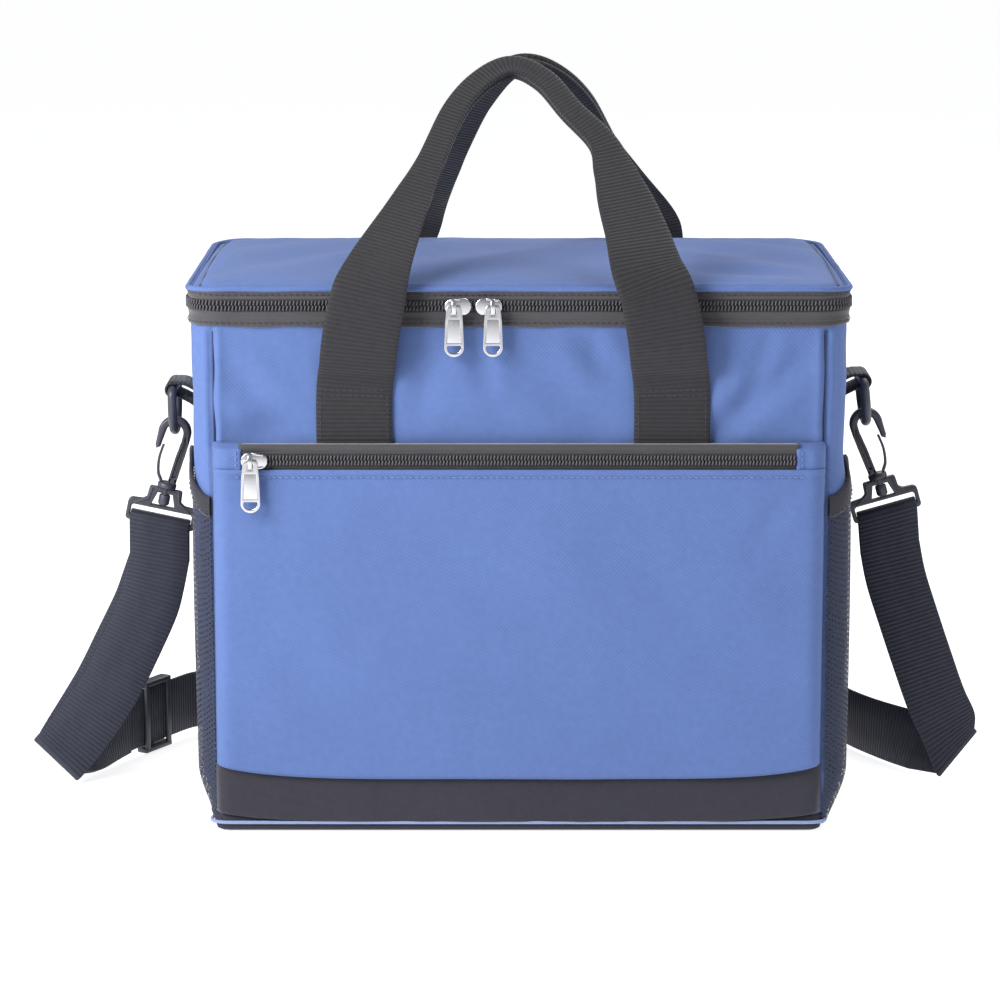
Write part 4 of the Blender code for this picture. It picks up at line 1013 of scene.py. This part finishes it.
# ---------------------------------------------------------------- base
def base():
    """A dark bottom with a rounded edge, and the piping sewn in round it."""
    columns = whole_ring(0.006, 10)
    profile = [(-0.0990, 0.0002), (-0.0500, 0.0001), (-0.0060, 0.0001), (-0.0006, 0.0004), (0.0010, 0.0016),
               (0.0006, 0.0030), (0.0005, 0.0085), (-0.0006, 0.0088)]
    pulled = columns[:, 0] - np.sign(columns[:, 0]) * tuck(columns[:, 2], 0.0)
    rows = []
    for out, z in profile:
        eased = columns[:, 0] - np.sign(columns[:, 0]) * tuck(columns[:, 2], z) if z > 0.002 else pulled
        rows.append(stack(eased * (HALF_W + out) / HALF_W, columns[:, 1] * (HALF_D + out) / HALF_D, z))
    put(grid("base_cloth", rows, wrap=True), "bag", "black_twill", "base_panel")
    path = [(x + nx * (0.0015 - 0.0012 * nx * nx - tuck(nx, 0.0050)), y + ny * 0.0015, 0.0050)
            for x, y, nx, ny, _ in columns]
    put(tube("base_cord", path, 0.0009, closed=True), "bag", "pale_piping", "base_piping")


# ---------------------------------------------------------------- mesh side pockets
def side_top(facts, share):
    """Height of a side pocket's bound edge: up from the seam round the corner, and sagging between."""
    inwards = np.minimum(share, 1 - share)
    rise = facts["rise"]
    return 0.1745 + rise * ease(inwards / 0.14) - (rise + 0.0005) * ease((inwards - 0.15) / 0.30)


def side_place(facts, columns, s, z, out):
    """A point on a side pocket, s from 0 to 1 along it."""
    along = travelled(columns[:, :2])
    x, y, nx, ny = (np.interp(s, along / along[-1], columns[:, k]) for k in range(4))
    inwards = np.minimum(s, 1 - s)
    gather = np.sin(s * 46) * np.exp(-np.maximum(side_top(facts, s) - z, 0) / 0.035) * ease(inwards / 0.1)
    slack = np.sin(np.clip(z / 0.17, 0, 1) * math.pi)
    stand = out - tuck(nx, z) + side_push(facts, z) * np.abs(nx) + 0.0004 * ease(inwards / 0.08)
    stand = stand + (0.0005 * gather + 0.0004 * slack) * ease(inwards / 0.06)
    return stack(x + nx * stand, y + ny * stand, z)


# The binding's section, as (distance out, height above the edge).
BINDING = ((0.0004, -0.0112), (0.0014, -0.0110), (0.0019, -0.0090), (0.0021, -0.0050), (0.0019, -0.0012),
           (0.0012, 0.0), (0.0002, -0.0006), (0.0001, -0.0100))


NET_CELL = 0.00165          # half a diamond of the netting
NET_HOLE = 0.46             # the hole, as a share of its cell
NET_FOOT = 0.0032
DIAMOND = ((1, 0), (0, 1), (-1, 0), (0, -1))


def netting(side, facts, columns):
    """Elastic netting: each cell is four faces round a diamond hole, and neighbours share their knots."""
    long = travelled(columns[:, :2])[-1]
    count = int(long / NET_CELL) // 2 * 2
    rows = int(0.1900 / NET_CELL)
    verts, faces, cloth = [], [], []
    knots = {}

    def vert(col, row):
        s = min(max(col / count, 0), 1)
        z = NET_FOOT + (side_top(facts, s) - 0.0100 - NET_FOOT) * min(max(row / rows, 0), 1)
        verts.append(side_place(facts, columns, s, z, 0.0008))
        cloth.append((s * long, z))
        return len(verts) - 1

    def knot(col, row):
        if (col, row) not in knots:
            knots[col, row] = vert(col, row)
        return knots[col, row]

    cells = [(col, row) for row in range(rows + 1) for col in range(count + 1) if (row + col) % 2 == 0]
    for col, row in cells:
        outer = [knot(col + a, row + b) for a, b in DIAMOND]
        inner = [vert(col + a * NET_HOLE, row + b * NET_HOLE) for a, b in DIAMOND]
        for k in range(4):
            n = (k + 1) % 4
            faces.append((outer[k], outer[n], inner[n], inner[k]))
    mesh = bpy.data.meshes.new(f"{side}_netting")
    mesh.from_pydata(verts, [], faces)
    loops = np.array(faces).ravel()
    mesh.uv_layers.new(name=UV).data.foreach_set("uv", np.array(cloth)[loops].ravel())
    mesh.shade_smooth()
    obj = link(bpy.data.objects.new(f"{side}_netting", mesh))
    put(obj, "bag", "black_mesh", f"{side}_mesh_pocket")


def side_pockets():
    """The netting, its bound top edge and the binding's stitching, on both sides."""
    shares = np.linspace(0, 1, 120)
    for side, facts in SIDES.items():
        columns = side_ring(facts["sign"])
        netting(side, facts, columns)
        top = side_top(facts, shares)
        edge = [side_place(facts, columns, shares, top + drop, out) for out, drop in BINDING]
        put(grid(f"{side}_bound_edge", edge), "bag", "black_twill", f"{side}_pocket_binding")
        run = side_place(facts, columns, shares, top - 0.0098, 0.0020)
        stitches(f"{side}_edge_stitching", [(run, lambda p: (p.x, p.y * 0.4, 0))],
                 DARK_THREAD, "black_twill", "bag")


# ---------------------------------------------------------------- lid
def foam_board(name, body, node, half_y, low, high):
    """A foam board with soft edges."""
    board = joined(name, [soft_box((-0.1480, -half_y, low), (0.1480, half_y, high), 0.0018)])
    put(board, body, "foam", node)


def lid_plan(inset, columns, rows):
    """A grid over the lid's rounded outline, closer near its edge, and how far in each point is."""
    w, d, r = HALF_W - inset, HALF_D - inset, CORNER_R - inset
    y = d * np.sin(np.linspace(-1, 1, rows) * math.pi / 2)[:, None]
    half = w - r + np.sqrt(np.maximum(r * r - np.maximum(np.abs(y) - (d - r), 0) ** 2, 0))
    x = half * np.sin(np.linspace(-1, 1, columns) * math.pi / 2)[None, :]
    y = y + 0 * x
    qx, qy = np.abs(x) - (w - r), np.abs(y) - (d - r)
    edge = r - np.hypot(np.maximum(qx, 0), np.maximum(qy, 0)) - np.minimum(np.maximum(qx, qy), 0)
    return x, y, np.maximum(edge, 0), qx - qy


END_SEAM = 0.1592           # the seam near each end of the lid, from its middle
LID_INSET = 0.0004          # the lid's cloth inside the bag's outline


def lid_height(x, y, edge, endwards):
    """The lid's pillow: low and flat, rolled down at its edge, and more so at its ends."""
    top = 0.2812 - 0.0022 * ease((y + HALF_D) / (2 * HALF_D))
    crown = 0.0064 * (1 - (y / HALF_D) ** 2) * (1 - (x / HALF_W) ** 20)
    end = ease(endwards / 0.03 + 0.5)
    inner = 1 - np.clip(edge / (0.0026 + 0.0120 * end), 0, 1)
    drop = (0.0026 + 0.0018 * end) * (1 - np.sqrt(1 - inner ** 2))
    seam_shade = np.abs(np.abs(x) - END_SEAM)
    place = stack(x, y, 0)
    soft = 0.0010 * ripple(place, 0.060, 14.0) + 0.0005 * ripple(place * (1, 0.6, 1), 0.022, 31.0)
    pull = np.exp(-edge / 0.012) * ease(edge / 0.003)
    soft = soft * ease(edge / 0.012) + folds(x, y, LID_FOLDS) * ease(edge / 0.020)
    soft = soft + 0.0006 * pull * ripple(place, 0.008, 17.0)
    return top + crown - drop + soft - 0.0009 * bell(seam_shade, 0.0012)


def lid_top():
    """The padded top, the rim that hangs from it, and the rolled edge between them."""
    x, y, edge, endwards = lid_plan(LID_INSET, 131, 81)
    top = grid("lid_top", stack(x, y, lid_height(x, y, edge, endwards)), planar=True, thick=0.0008)
    put(top, "lid", "blue_twill", "lid_cover")
    columns = whole_ring(0.005, 12)
    rim = raise_up(columns, [(-LID_INSET, h) for h in np.linspace(LID_LOW + 0.0001, 0.2788, 6)])
    put(grid("lid_rim", rim, wrap=True, thick=0.0008), "lid", "blue_twill")
    path = []
    for px, py, nx, ny, _ in columns:
        wander = 0.0003 * noise.noise(Vector((px, py, 0)) * 60)
        low = 0.0010 * nx * nx + 0.0007 * (py + HALF_D) / HALF_D
        path.append((px + nx * (0.0003 + 0.0007 * nx * nx), py + ny * 0.0003, 0.2794 - low + wander))
    put(tube("lid_rolled_edge", path, 0.0014, closed=True), "lid", "blue_twill", "lid_piping")


def lid_end_cords():
    """The cord along the seam near each end of the lid, dark with painted shade of the seam's groove."""
    for side, facts in SIDES.items():
        ys = np.linspace(-HALF_D + 0.0085, HALF_D - 0.0085, 60)
        xs = 0 * ys + END_SEAM
        near = np.minimum(HALF_W - LID_INSET - xs, HALF_D - LID_INSET - np.abs(ys))
        zs = lid_height(xs, ys, near, xs * 0 + 0.02)
        points = stack(facts["sign"] * xs, ys, zs + 0.0002)
        # the cord's dark colour is painted shade
        put(tube(f"lid_{side}_end_cord", points.tolist(), 0.0005), "lid", "blue_twill", finish=SEAM_SHADE)


def lid_inside():
    """The lid's board, the foil film over it and the tape round the film."""
    foam_board("lid_board", "lid", "lid_foam", 0.0900, LID_LOW + 0.0014, LID_LOW + 0.0058)
    x, y, edge, _ = lid_plan(0.0030, 61, 41)
    crinkle = 0.5 + 0.5 * ripple(stack(x, y, 0), 0.03, 9.0)
    lining = stack(x, y, LID_LOW + 0.0003 + 0.0006 * ease(edge / 0.004) * crinkle)
    put(grid("lid_film", lining, planar=True, inside=(0, 0, 1)), "lid", "foil_liner", "lid_lining")
    border = raise_up(whole_ring(0.006, 8), [(-0.0012, LID_LOW + 0.0004), (-0.0016, LID_LOW + 0.0001),
                                             (-0.0070, LID_LOW + 0.0001), (-0.0074, LID_LOW + 0.0006)])
    put(grid("lid_border", border, wrap=True, inside=(0, 0, 1)), "lid", "black_twill")


def hinge():
    """The cloth strip that joins lid and back panel."""
    xs = np.linspace(-FLAT_X - 0.004, FLAT_X + 0.004, 90)
    heights = np.linspace(ZIP_Z - 0.0090, ZIP_Z + 0.0066, 15)
    rows = []
    for z in heights:
        out = 0.0006 + 0.0006 * bell(z - ZIP_Z, 0.003) + 0.0002 * ripple(stack(xs, 0, z), 0.012, 3.0)
        rows.append(stack(xs, HALF_D + out, z))
    strip = put(grid("hinge_strip", rows, thick=0.0006), None, "blue_twill")
    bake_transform(strip)


body_shell()
seams()
wall_foam()
liner()
pocket_panel()
front_band()
main_zip()
pocket_zip()
pocket_zip_ends()
base()
side_pockets()
lid_top()
lid_end_cords()
lid_inside()
hinge()


# ---------------------------------------------------------------- sliders and pullers
SLIDER_L = 0.0130
SLIDER_H = 0.0090
SLIDER_T = 0.0022
BRIDGE_ROOM = 0.0022        # between the slider's face and its bridge
BRIDGE_REACH = 0.0043       # half the bridge's length
PULL_W = 0.0100


def bridge_line(reach, rise):
    """One side of the bridge's outline, an arch on two feet."""
    turns = np.linspace(0.25, math.pi - 0.25, 13)
    arch = [(-reach * math.cos(a), rise * math.sin(a) ** 0.6) for a in turns]
    return [(-reach, -0.0006), *arch, (reach, -0.0006)]


def slider(name, body, x, z, back, heading, aside, *nodes):
    """A plated zip slider: a shaped plate with rolled flanges over the teeth, and the puller's bridge."""
    long, high = SLIDER_L / 2, SLIDER_H / 2
    taper = [(long * a, high * b) for a, b in ((0.35, 0.88), (0.80, 0.72), (1.0, 0.30))]
    nose = [*arc((-long * 0.35, 0), high, 110, 250, 10), *((a, -b) for a, b in taper), *taper[::-1]]
    stand = Matrix(((heading, 0, 0, x), (0, 0, -1, back - SLIDER_T / 2), (0, 1, 0, z), (0, 0, 0, 1)))
    parts = [plate([nose], SLIDER_T, 0.0006, stand)]
    for sign in (-1, 1):
        rail = [(-long * 0.2, sign * (high - 0.0001)), (long * 0.7, sign * (high * 0.80 - 0.0001)),
                (long * 0.7, sign * (high * 0.80 - 0.0011)), (-long * 0.2, sign * (high - 0.0012))]
        lift = stand @ Matrix.Translation((0, 0, SLIDER_T / 2 + 0.0001))
        parts.append(plate([rail], 0.0011, 0.0003, lift))
    across = Matrix(((0, 0, 1, x + aside), (0, -1, 0, back - SLIDER_T), (1, 0, 0, z), (0, 0, 0, 1)))
    outer = bridge_line(BRIDGE_REACH, BRIDGE_ROOM + 0.0011)
    inner = bridge_line(BRIDGE_REACH - 0.0011, BRIDGE_ROOM + 0.0001)
    parts.append(plate([outer + inner[::-1]], 0.0022, 0.0003, across))
    put(joined(name, parts), body, "nickel", *nodes)


def puller(name, body, x, z, back, length, *nodes):
    """A pull tab: a raised rim round a sunk pad, a window at its top and a hole at its round end."""
    axis_y = back - SLIDER_T - BRIDGE_ROOM / 2
    half = PULL_W / 2
    tip = -length + half
    edge = [(-0.0030, 0.0008), (-0.0038, -0.0010), (-0.0045, -0.0080), *arc((0, tip), half, 190, 350, 16),
            (0.0045, -0.0080), (0.0038, -0.0010), (0.0030, 0.0008)]
    window = [(-0.0013, -0.0012), *arc((0, -0.0026), 0.0013, 180, 360, 8), (0.0013, -0.0012)]
    hole = [(-half + 0.0017, tip + 0.0006), *arc((0, tip + 0.0002), half - 0.0015, 190, 350, 12),
            (half - 0.0017, tip + 0.0006)]
    pad, floor = ([(-0.0028 - d, -0.0062 + d), (0.0028 + d, -0.0062 + d), (0.0034 + d, tip + 0.0020 - d),
                   (-0.0034 - d, tip + 0.0020 - d)] for d in (0, 0.0004))
    stand = Matrix.Translation((x, axis_y, z)) @ UPRIGHT
    parts = [plate([edge, window, hole, pad], 0.0013, 0.0003, stand), plate([floor], 0.0008, 0.00015, stand)]
    put(joined(name, parts), body, "nickel", *nodes)


def sliders():
    main_back = -(HALF_D + 0.0010 + 0.0013 + 3 * GAP)
    pocket_back = POCKET_FRONT - 0.0014 - 2 * GAP
    for slide, tab_name, body, pull, x, z, back, heading, aside, length, node, tab_node in (
        ("main_slide_left", "main_pull_left", "left_slider", "left_pull", -0.0305, ZIP_Z, main_back,
         -1, -0.0018, 0.0250, "main_slider_left", "main_puller_left"),
        ("main_slide_right", "main_pull_right", "right_slider", "right_pull", -0.0150, ZIP_Z, main_back,
         1, 0.0020, 0.0250, "main_slider_right", "main_puller_right"),
        ("pocket_slide", "pocket_pull_tab", "pocket_zip_slider", "pocket_pull", -0.1320, POCKET_ZIP_Z,
         pocket_back, 1, -0.0020, 0.0260, "pocket_slider", "pocket_puller"),
    ):
        slider(slide, body, x, z, back, heading, aside, node)
        puller(tab_name, pull, x + aside, z, back, length, tab_node)


# ---------------------------------------------------------------- carry handles
# Seen from the side: (distance from the bag's middle, height), from the sewn end up to the grip.
HANDLE_SIDE = ((0.1023, 0.2023), (0.1023, 0.2180), (0.1025, 0.2290), (0.1042, 0.2365), HANDLE_PIVOT,
               (0.1108, 0.2460), (0.1130, 0.2520), (0.1142, 0.2600), (0.1140, 0.2730), (0.1102, 0.2845),
               (0.1005, 0.2965), (0.0840, 0.3115), (0.0560, 0.3370), (0.0300, 0.3625), (0.0060, 0.3860))
# Along the webbing: (distance from the handle's middle, height that this stretch of webbing reaches,
# half width, thickness), from the fold line up one leg to the middle of the grip.
LEG_UP = ((0.0775, 0.2415, 0.0190, WEB_T), (0.0756, 0.2570, 0.0190, WEB_T), (0.0714, 0.2780, 0.0186, WEB_T))
SLIM_LEG = ((0.0670, 0.2910, 0.0164, 0.0019), (0.0600, 0.3050, 0.0134, 0.0024),
            (0.0512, 0.3205, 0.0102, 0.0036), (0.0424, 0.3365, 0.0072, 0.0054))
WIDE_LEG = ((0.0660, 0.2910, 0.0178, 0.0018), (0.0616, 0.3060, 0.0160, 0.0020),
            (0.0560, 0.3210, 0.0140, 0.0026), (0.0506, 0.3350, 0.0106, 0.0042),
            (0.0450, 0.3470, 0.0074, 0.0056))
GRIP = ((0.0300, 0.3610, 0.0064, 0.0060), (0.0160, 0.3755, 0.0062, 0.0060), (0.0, 0.3820, 0.0061, 0.0060))


def side_profile():
    """The handle's side profile as (distance along it, point), from the sewn end upwards."""
    points = catmull([Vector(p) for p in HANDLE_SIDE], 8)
    along = [0.0]
    for a, b in zip(points, points[1:]):
        along.append(along[-1] + (b - a).length)
    return along, points


def on_profile(along, points, s):
    """Point and outward normal of the side profile, s metres along it."""
    s = min(max(s, 0.0), along[-1] - 1e-9)
    i = int(np.searchsorted(along, s, side="right")) - 1
    share = (s - along[i]) / (along[i + 1] - along[i])
    ahead = (points[i + 1] - points[i]).normalized()
    return points[i].lerp(points[i + 1], share), Vector((ahead.y, -ahead.x))


# One half of the webbing's section, as shares of its half width and half thickness, with the folded lips.
WEB_SECTION = ((0.0, 1.0), (0.3, 1.0), (0.6, 1.0), (0.86, 0.98), (0.96, 0.8), (1.0, 0.35), (0.97, 0.0))


def web_section():
    upper = [(-a, b) for a, b in WEB_SECTION[:0:-1]] + list(WEB_SECTION)
    return upper + [(a, -b) for a, b in upper[-2:0:-1]]


def carry_handle(name, body, sign_y, low, uneven, lean_x, *nodes):
    """A loop of webbing from sewn end to sewn end, flat at its legs and folded double at the grip.

    uneven says that its right leg stays flat for longer, and lean_x how far the grip stands to the right.
    """
    along, points = side_profile()
    heights = [p.y for p in points]

    def climb(height):
        return float(np.interp(height, heights, along))

    def leg(middle):
        foot = [(HANDLE_SPREAD - inwards, z, WEBBING / 2, WEB_T)
                for inwards, z in ((0, low), (0, max(low + 0.01, 0.2220)), (0.0006, 0.2330))]
        return [Vector((x, climb(z) - max(HANDLE_SIDE[0][1] - z, 0), half, thick))
                for x, z, half, thick in (*foot, *LEG_UP, *middle, *GRIP)]

    left, right = leg(SLIM_LEG), leg(WIDE_LEG if uneven else SLIM_LEG)
    route = [Vector((-p.x, p.y, p.z, p.w)) for p in left] + right[-2::-1]
    whole = catmull(route, 9)
    shape = web_section()
    rows = []
    for i, p in enumerate(whole):
        before, after = whole[max(i - 1, 0)], whole[min(i + 1, len(whole) - 1)]
        ahead = Vector((after.x - before.x, after.y - before.y)).normalized()
        across = Vector((-ahead.y, ahead.x))
        folded = float(ease((p.w - 0.0020) / 0.0030))
        row = []
        for a, b in shape:
            lip = 1 - 0.22 * folded * math.exp(-(b / 0.3) ** 2) * (abs(a) > 0.9)
            dip = 1 - 0.10 * folded * math.exp(-((a + 0.25) / 0.18) ** 2)
            x, s = p.x + across.x * p.z * a * lip, p.y + across.y * p.z * a * lip
            lean = lean_x * float(ease((p.y - climb(0.245)) / 0.05) * (1 + ease(-p.x / 0.03)))
            point, normal = on_profile(along, points, s)
            if s < 0:
                point = point + Vector((0, s))
            wander = 0.0004 * noise.noise(Vector((x * 30, s * 30, sign_y)))
            point = point + normal * (b * dip * p.w / 2 + wander * min(max((point.y - 0.25) / 0.02, 0), 1))
            row.append((HANDLE_X + x + lean, sign_y * point.x, point.y))
        rows.append(row)
    middle = np.array(rows).reshape(-1, 3).mean(axis=0)
    obj = grid(name, rows, wrap=True, inside=middle, caps=True)
    put(obj, None, "black_webbing", *nodes)
    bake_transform(obj)


def handle_stitching(name, sign_y, low):
    """Thread down both edges of the sewn ends, and two rows across their tops."""
    runs = []
    wide = WEBBING / 2 - 0.0022
    depth = sign_y * (HALF_D + 0.0023)
    for sign in (-1, 1):
        x = HANDLE_X + sign * HANDLE_SPREAD
        for edge in (x - wide, x + wide):
            runs.append(([(edge, depth, low + 0.002), (edge, depth, 0.2290)], (0, sign_y, 0)))
        for height in (0.2262, 0.2290):
            runs.append(([(x - wide, depth, height), (x + wide, depth, height)], (0, sign_y, 0)))
    stitches(name, runs, DARK_THREAD, "black_webbing", "bag")


def handles():
    for end, sign_y, low, uneven, lean_x in (("front", -1, POCKET_ZIP_Z + 0.0072, True, 0.0),
                                             ("back", 1, 0.1270, False, 0.0065)):
        carry_handle(f"{end}_grip", f"{end}_carry_handle", sign_y, low, uneven, lean_x, f"{end}_handle",
                     f"{end}_handle_left_anchor", f"{end}_handle_right_anchor")
        handle_stitching(f"{end}_grip_stitching", sign_y, low)


# ---------------------------------------------------------------- strap ends: tab, ring, hook, gate, buckle
def tab(side, facts):
    """Webbing sewn to the bag's side and turned round the ring's bar."""
    z0 = LOOP_Z + facts["lift"]
    sign = facts["sign"]
    radius = RING_R + 0.0012
    line = [(HALF_W + 0.0026, 0.1800), (HALF_W + 0.0027, z0 - 0.0150), (HALF_W + 0.0038, z0 - 0.0085),
            *arc((LOOP_X, z0), radius, -128, 105, 12), (LOOP_X - 0.0065, z0 + 0.0030),
            (HALF_W + 0.0024, z0 - 0.0014), (HALF_W + 0.0010, z0 - 0.0060), (HALF_W + 0.0010, 0.1800)]
    path = catmull([Vector((sign * x, 0, z)) for x, z in line], 3)
    half = Vector((0, TAB_W / 2, 0))
    points = ribbon_points([(p, half) for p in path], TAB_W, 0.0015)
    put(grid(f"{side}_tab_webbing", points, wrap=True, caps=True, inside=(sign * LOOP_X, 0, z0)), "bag",
        "black_webbing", f"{side}_tab")
    x = sign * (HALF_W + 0.0034)
    low, high, wide = 0.1825, z0 - 0.0165, TAB_W / 2 - 0.0022
    corners = [(x, -wide, low), (x, wide, low), (x, wide, high), (x, -wide, high), (x, -wide, low)]
    runs = [([a, b], (sign, 0, 0)) for a, b in zip(corners, corners[1:])]
    runs += [([corners[0], corners[2]], (sign, 0, 0)), ([corners[1], corners[3]], (sign, 0, 0))]
    stitches(f"{side}_tab_stitching", runs, DARK_THREAD, "black_webbing", "bag")


def ring(side, facts):
    """A D-shaped ring of round section, with soft corners."""
    low = [(RING_HALF * math.cos(a), -0.0085 + (RING_DROP - 0.0085) * math.sin(a))
           for a in np.linspace(0, -math.pi, 25)]
    corner_r = 0.0030
    high = [*arc((-RING_HALF + corner_r, -corner_r), corner_r, 180, 90, 5),
            *arc((RING_HALF - corner_r, -corner_r), corner_r, 90, 0, 5)]
    path = [ring_frame(facts) @ Vector((0, y, z)) for y, z in low + high]
    put(tube(f"{side}_d_ring_tube", path, RING_R, closed=True, sides=16), f"{side}_d_ring", "black_plastic",
        f"{side}_ring")


def hook(side, facts):
    """A moulded snap hook: an arc and shank with a sunk web, then the swivel's collar, stem and head."""
    place = hook_frame(facts)
    foot = COLLAR_Z - 0.0006
    edge = [*arc((0, 0), HOOK_OUT, 187, 0, 22), (0.0084, -0.0050), (0.0076, -0.0120), (0.0056, foot),
            (0.0012, foot), (0.0030, -0.0120), (0.0044, -0.0050), *arc((0, 0), HOOK_IN, 0, 165, 14),
            (-0.0056, -0.0058), (-0.0060, -0.0086), (-0.0080, -0.0100), (-0.0088, -0.0080)]
    web = [(0.0064, -0.0020), (0.0070, -0.0050), (0.0064, -0.0120), (0.0048, -0.0235), (0.0030, -0.0235),
           (0.0044, -0.0120), (0.0054, -0.0050)]
    stem = place @ Matrix.Translation((STEM_X, 0, 0))
    swivel = [(r, COLLAR_Z - drop) for r, drop in (
        (1e-5, -0.0004), (0.0044, -0.0003), (0.0050, 0.0004), (0.0050, 0.0021), (0.0046, 0.0026),
        (SWIVEL_R, 0.0027), (SWIVEL_R, 0.0064), (0.0028, 0.0066), (0.0030, 0.0074), (0.0030, 0.0112),
        (0.0024, 0.0120), (1e-5, 0.0121))]
    parts = [plate([edge, web], HOOK_T, 0.0012, place @ UPRIGHT),
             plate([web], HOOK_T * 0.5, 0.0002, place @ UPRIGHT), lathe(swivel, stem)]
    put(joined(f"{side}_hook_body", parts, 50), f"{side}_snap_hook", "black_plastic", f"{side}_hook")


def gate(side, facts):
    """The hook's springy tongue, from the collar up to the inside of the nose."""
    spots = ((-0.0022, COLLAR_Z + 0.0006), (-0.0046, -0.0225), (-0.0055, -0.0150), (-0.0046, -0.0076))
    path = catmull([Vector(p) for p in spots], 5)
    left, right = [], []
    for i, p in enumerate(path):
        ahead = (path[min(i + 1, len(path) - 1)] - path[max(i - 1, 0)]).normalized()
        across = Vector((-ahead.y, ahead.x)) * 0.00065
        left.append(tuple(p + across))
        right.append(tuple(p - across))
    parts = [plate([left + right[::-1]], 0.0040, 0.0003, hook_frame(facts) @ UPRIGHT)]
    put(joined(f"{side}_gate_tongue", parts), f"{side}_snap_gate", "black_plastic", f"{side}_gate")


def buckle(side, facts):
    """The strap's end frame: a neck round the swivel's stem, a window, and a slot over the strap's bar."""
    place = hook_frame(facts) @ Matrix.Translation((STEM_X, 0, 0))
    top = COLLAR_Z - 0.0026 - GAP
    shoulder, half = -0.0385, 0.0185
    right = [(0.0080, top), (0.0088, top - 0.0008), (0.0092, shoulder + 0.0020), (0.0104, shoulder + 0.0004),
             *arc((half - 0.0025, shoulder - 0.0025), 0.0025, 90, 0, 5),
             *arc((half - 0.0020, BAR_Z + 0.0004), 0.0020, 0, -90, 4)]
    edge = right + [(-x, z) for x, z in right[::-1]]
    slot_top, slot_half = BAR_Z + 0.0070, STRAP_W / 2 + 0.0003
    slot = [(-slot_half, BAR_Z + BAR_R), (-slot_half, slot_top - 0.001), (-slot_half + 0.001, slot_top),
            (slot_half - 0.001, slot_top), (slot_half, slot_top - 0.001), (slot_half, BAR_Z + BAR_R)]
    window = [(-0.0040, COLLAR_Z - 0.0058), (0.0040, COLLAR_Z - 0.0058), (0.0062, slot_top + 0.0018),
              (-0.0062, slot_top + 0.0018)]
    parts = [plate([edge, slot, window], 2 * BUCKLE_T, 0.0006, place @ UPRIGHT)]
    for sign in (-1, 1):
        rib = [(sign * x, z) for x, z in (
            (0.0076, top - 0.0010), (0.0086, shoulder + 0.0020), (0.0150, shoulder - 0.0022),
            (0.0150, shoulder - 0.0028), (0.0078, shoulder + 0.0006), (0.0066, top - 0.0010))]
        parts.append(plate([rib], 2 * BUCKLE_T + 0.0009, 0.0003, place @ UPRIGHT))
    put(joined(f"{side}_end_frame", parts), f"{side}_strap_end", "black_plastic", f"{side}_buckle")


def adjuster():
    """A three-bar slide: its middle bar is outside the webbing and its end bars are inside."""
    start, end = Vector(BEHIND[3][0]), Vector(BEHIND[4][0])
    ahead = (end - start).normalized()
    out = Vector((-ahead.y, ahead.x, 0))
    middle = start.lerp(end, 0.15)
    place = Matrix(((ahead.x, out.x, 0, middle.x), (ahead.y, out.y, 0, middle.y), (0, 0, 1, middle.z),
                    (0, 0, 0, 1)))
    rail, depth = STRAP_W / 2 + 0.0010, 0.0035
    parts = []
    for sign in (-1, 1):
        low, high = sorted((sign * rail, sign * (rail + 0.0030)))
        parts.append(soft_box((-0.0120, -depth, low), (0.0120, depth, high), 0.0009, place))
    skin = STRAP_T / 2 + 0.0007
    tall = rail + 0.0012
    for x, near, far in ((0, skin, depth), (-0.0098, -depth, -skin), (0.0098, -depth, -skin)):
        parts.append(soft_box((x - 0.0018, near, -tall), (x + 0.0018, far, tall), 0.0007, place))
    put(joined("strap_slide_frame", parts), "strap_slide", "black_plastic", "strap_adjuster")


sliders()
handles()
for which, facts in SIDES.items():
    tab(which, facts)
    ring(which, facts)
    hook(which, facts)
    gate(which, facts)
    buckle(which, facts)
adjuster()
foam_board("base_board", "bag", "base_foam", 0.0930, 0.0030, 0.0086)


# ---------------------------------------------------------------- floor and light
SKY_LIGHT = 0.29            # the sky's strength as a light; the camera sees it as white
LAMPS = (("key", (-0.86, -0.74, 0.74), 0.7, 23.0), ("fill", (1.5, -0.20, 0.6), 0.9, 5.0),
         ("top", (0.55, 0.25, 1.35), 0.8, 8.0), ("back", (0.6, 1.8, 1.4), 1.2, 12.0))


def studio():
    """A pale floor, a white sky and four soft lamps."""
    bm = bmesh.new()
    bmesh.ops.create_grid(bm, x_segments=1, y_segments=1, size=14.0)
    floor = from_bmesh("floor", bm)
    floor.location = (0, 0, -0.0004)
    white, _ = material("floor_white", 0.9, Emission_Strength=0.80, Base_Color=(0.60, 0.61, 0.64, 1.0),
                        Emission_Color=(1.0, 1.0, 1.0, 1.0))
    floor.data.materials.append(white)
    world = bpy.data.worlds.new("studio")
    world.use_nodes = True
    sky = world.node_tree.nodes["Background"]
    sky.inputs["Color"].default_value = (1.0, 1.0, 1.0, 1.0)
    seen = add(world, "LightPath").outputs["Is Camera Ray"]
    level = add(world, "MapRange", {"Value": seen, "To Min": SKY_LIGHT, "To Max": 1.0})
    world.node_tree.links.new(level.outputs[0], sky.inputs["Strength"])
    bpy.context.scene.world = world
    bpy.context.scene.view_settings.view_transform = "Standard"
    for name, place, size, power in LAMPS:
        lamp = bpy.data.lights.new(name, "AREA")
        lamp.size = size
        lamp.energy = power
        holder = link(bpy.data.objects.new(name, lamp))
        holder.location = place
        holder.visible_camera = False
        holder.rotation_euler = (Vector((0, 0, 0.16)) - Vector(place)).to_track_quat("-Z", "Y").to_euler()


studio()
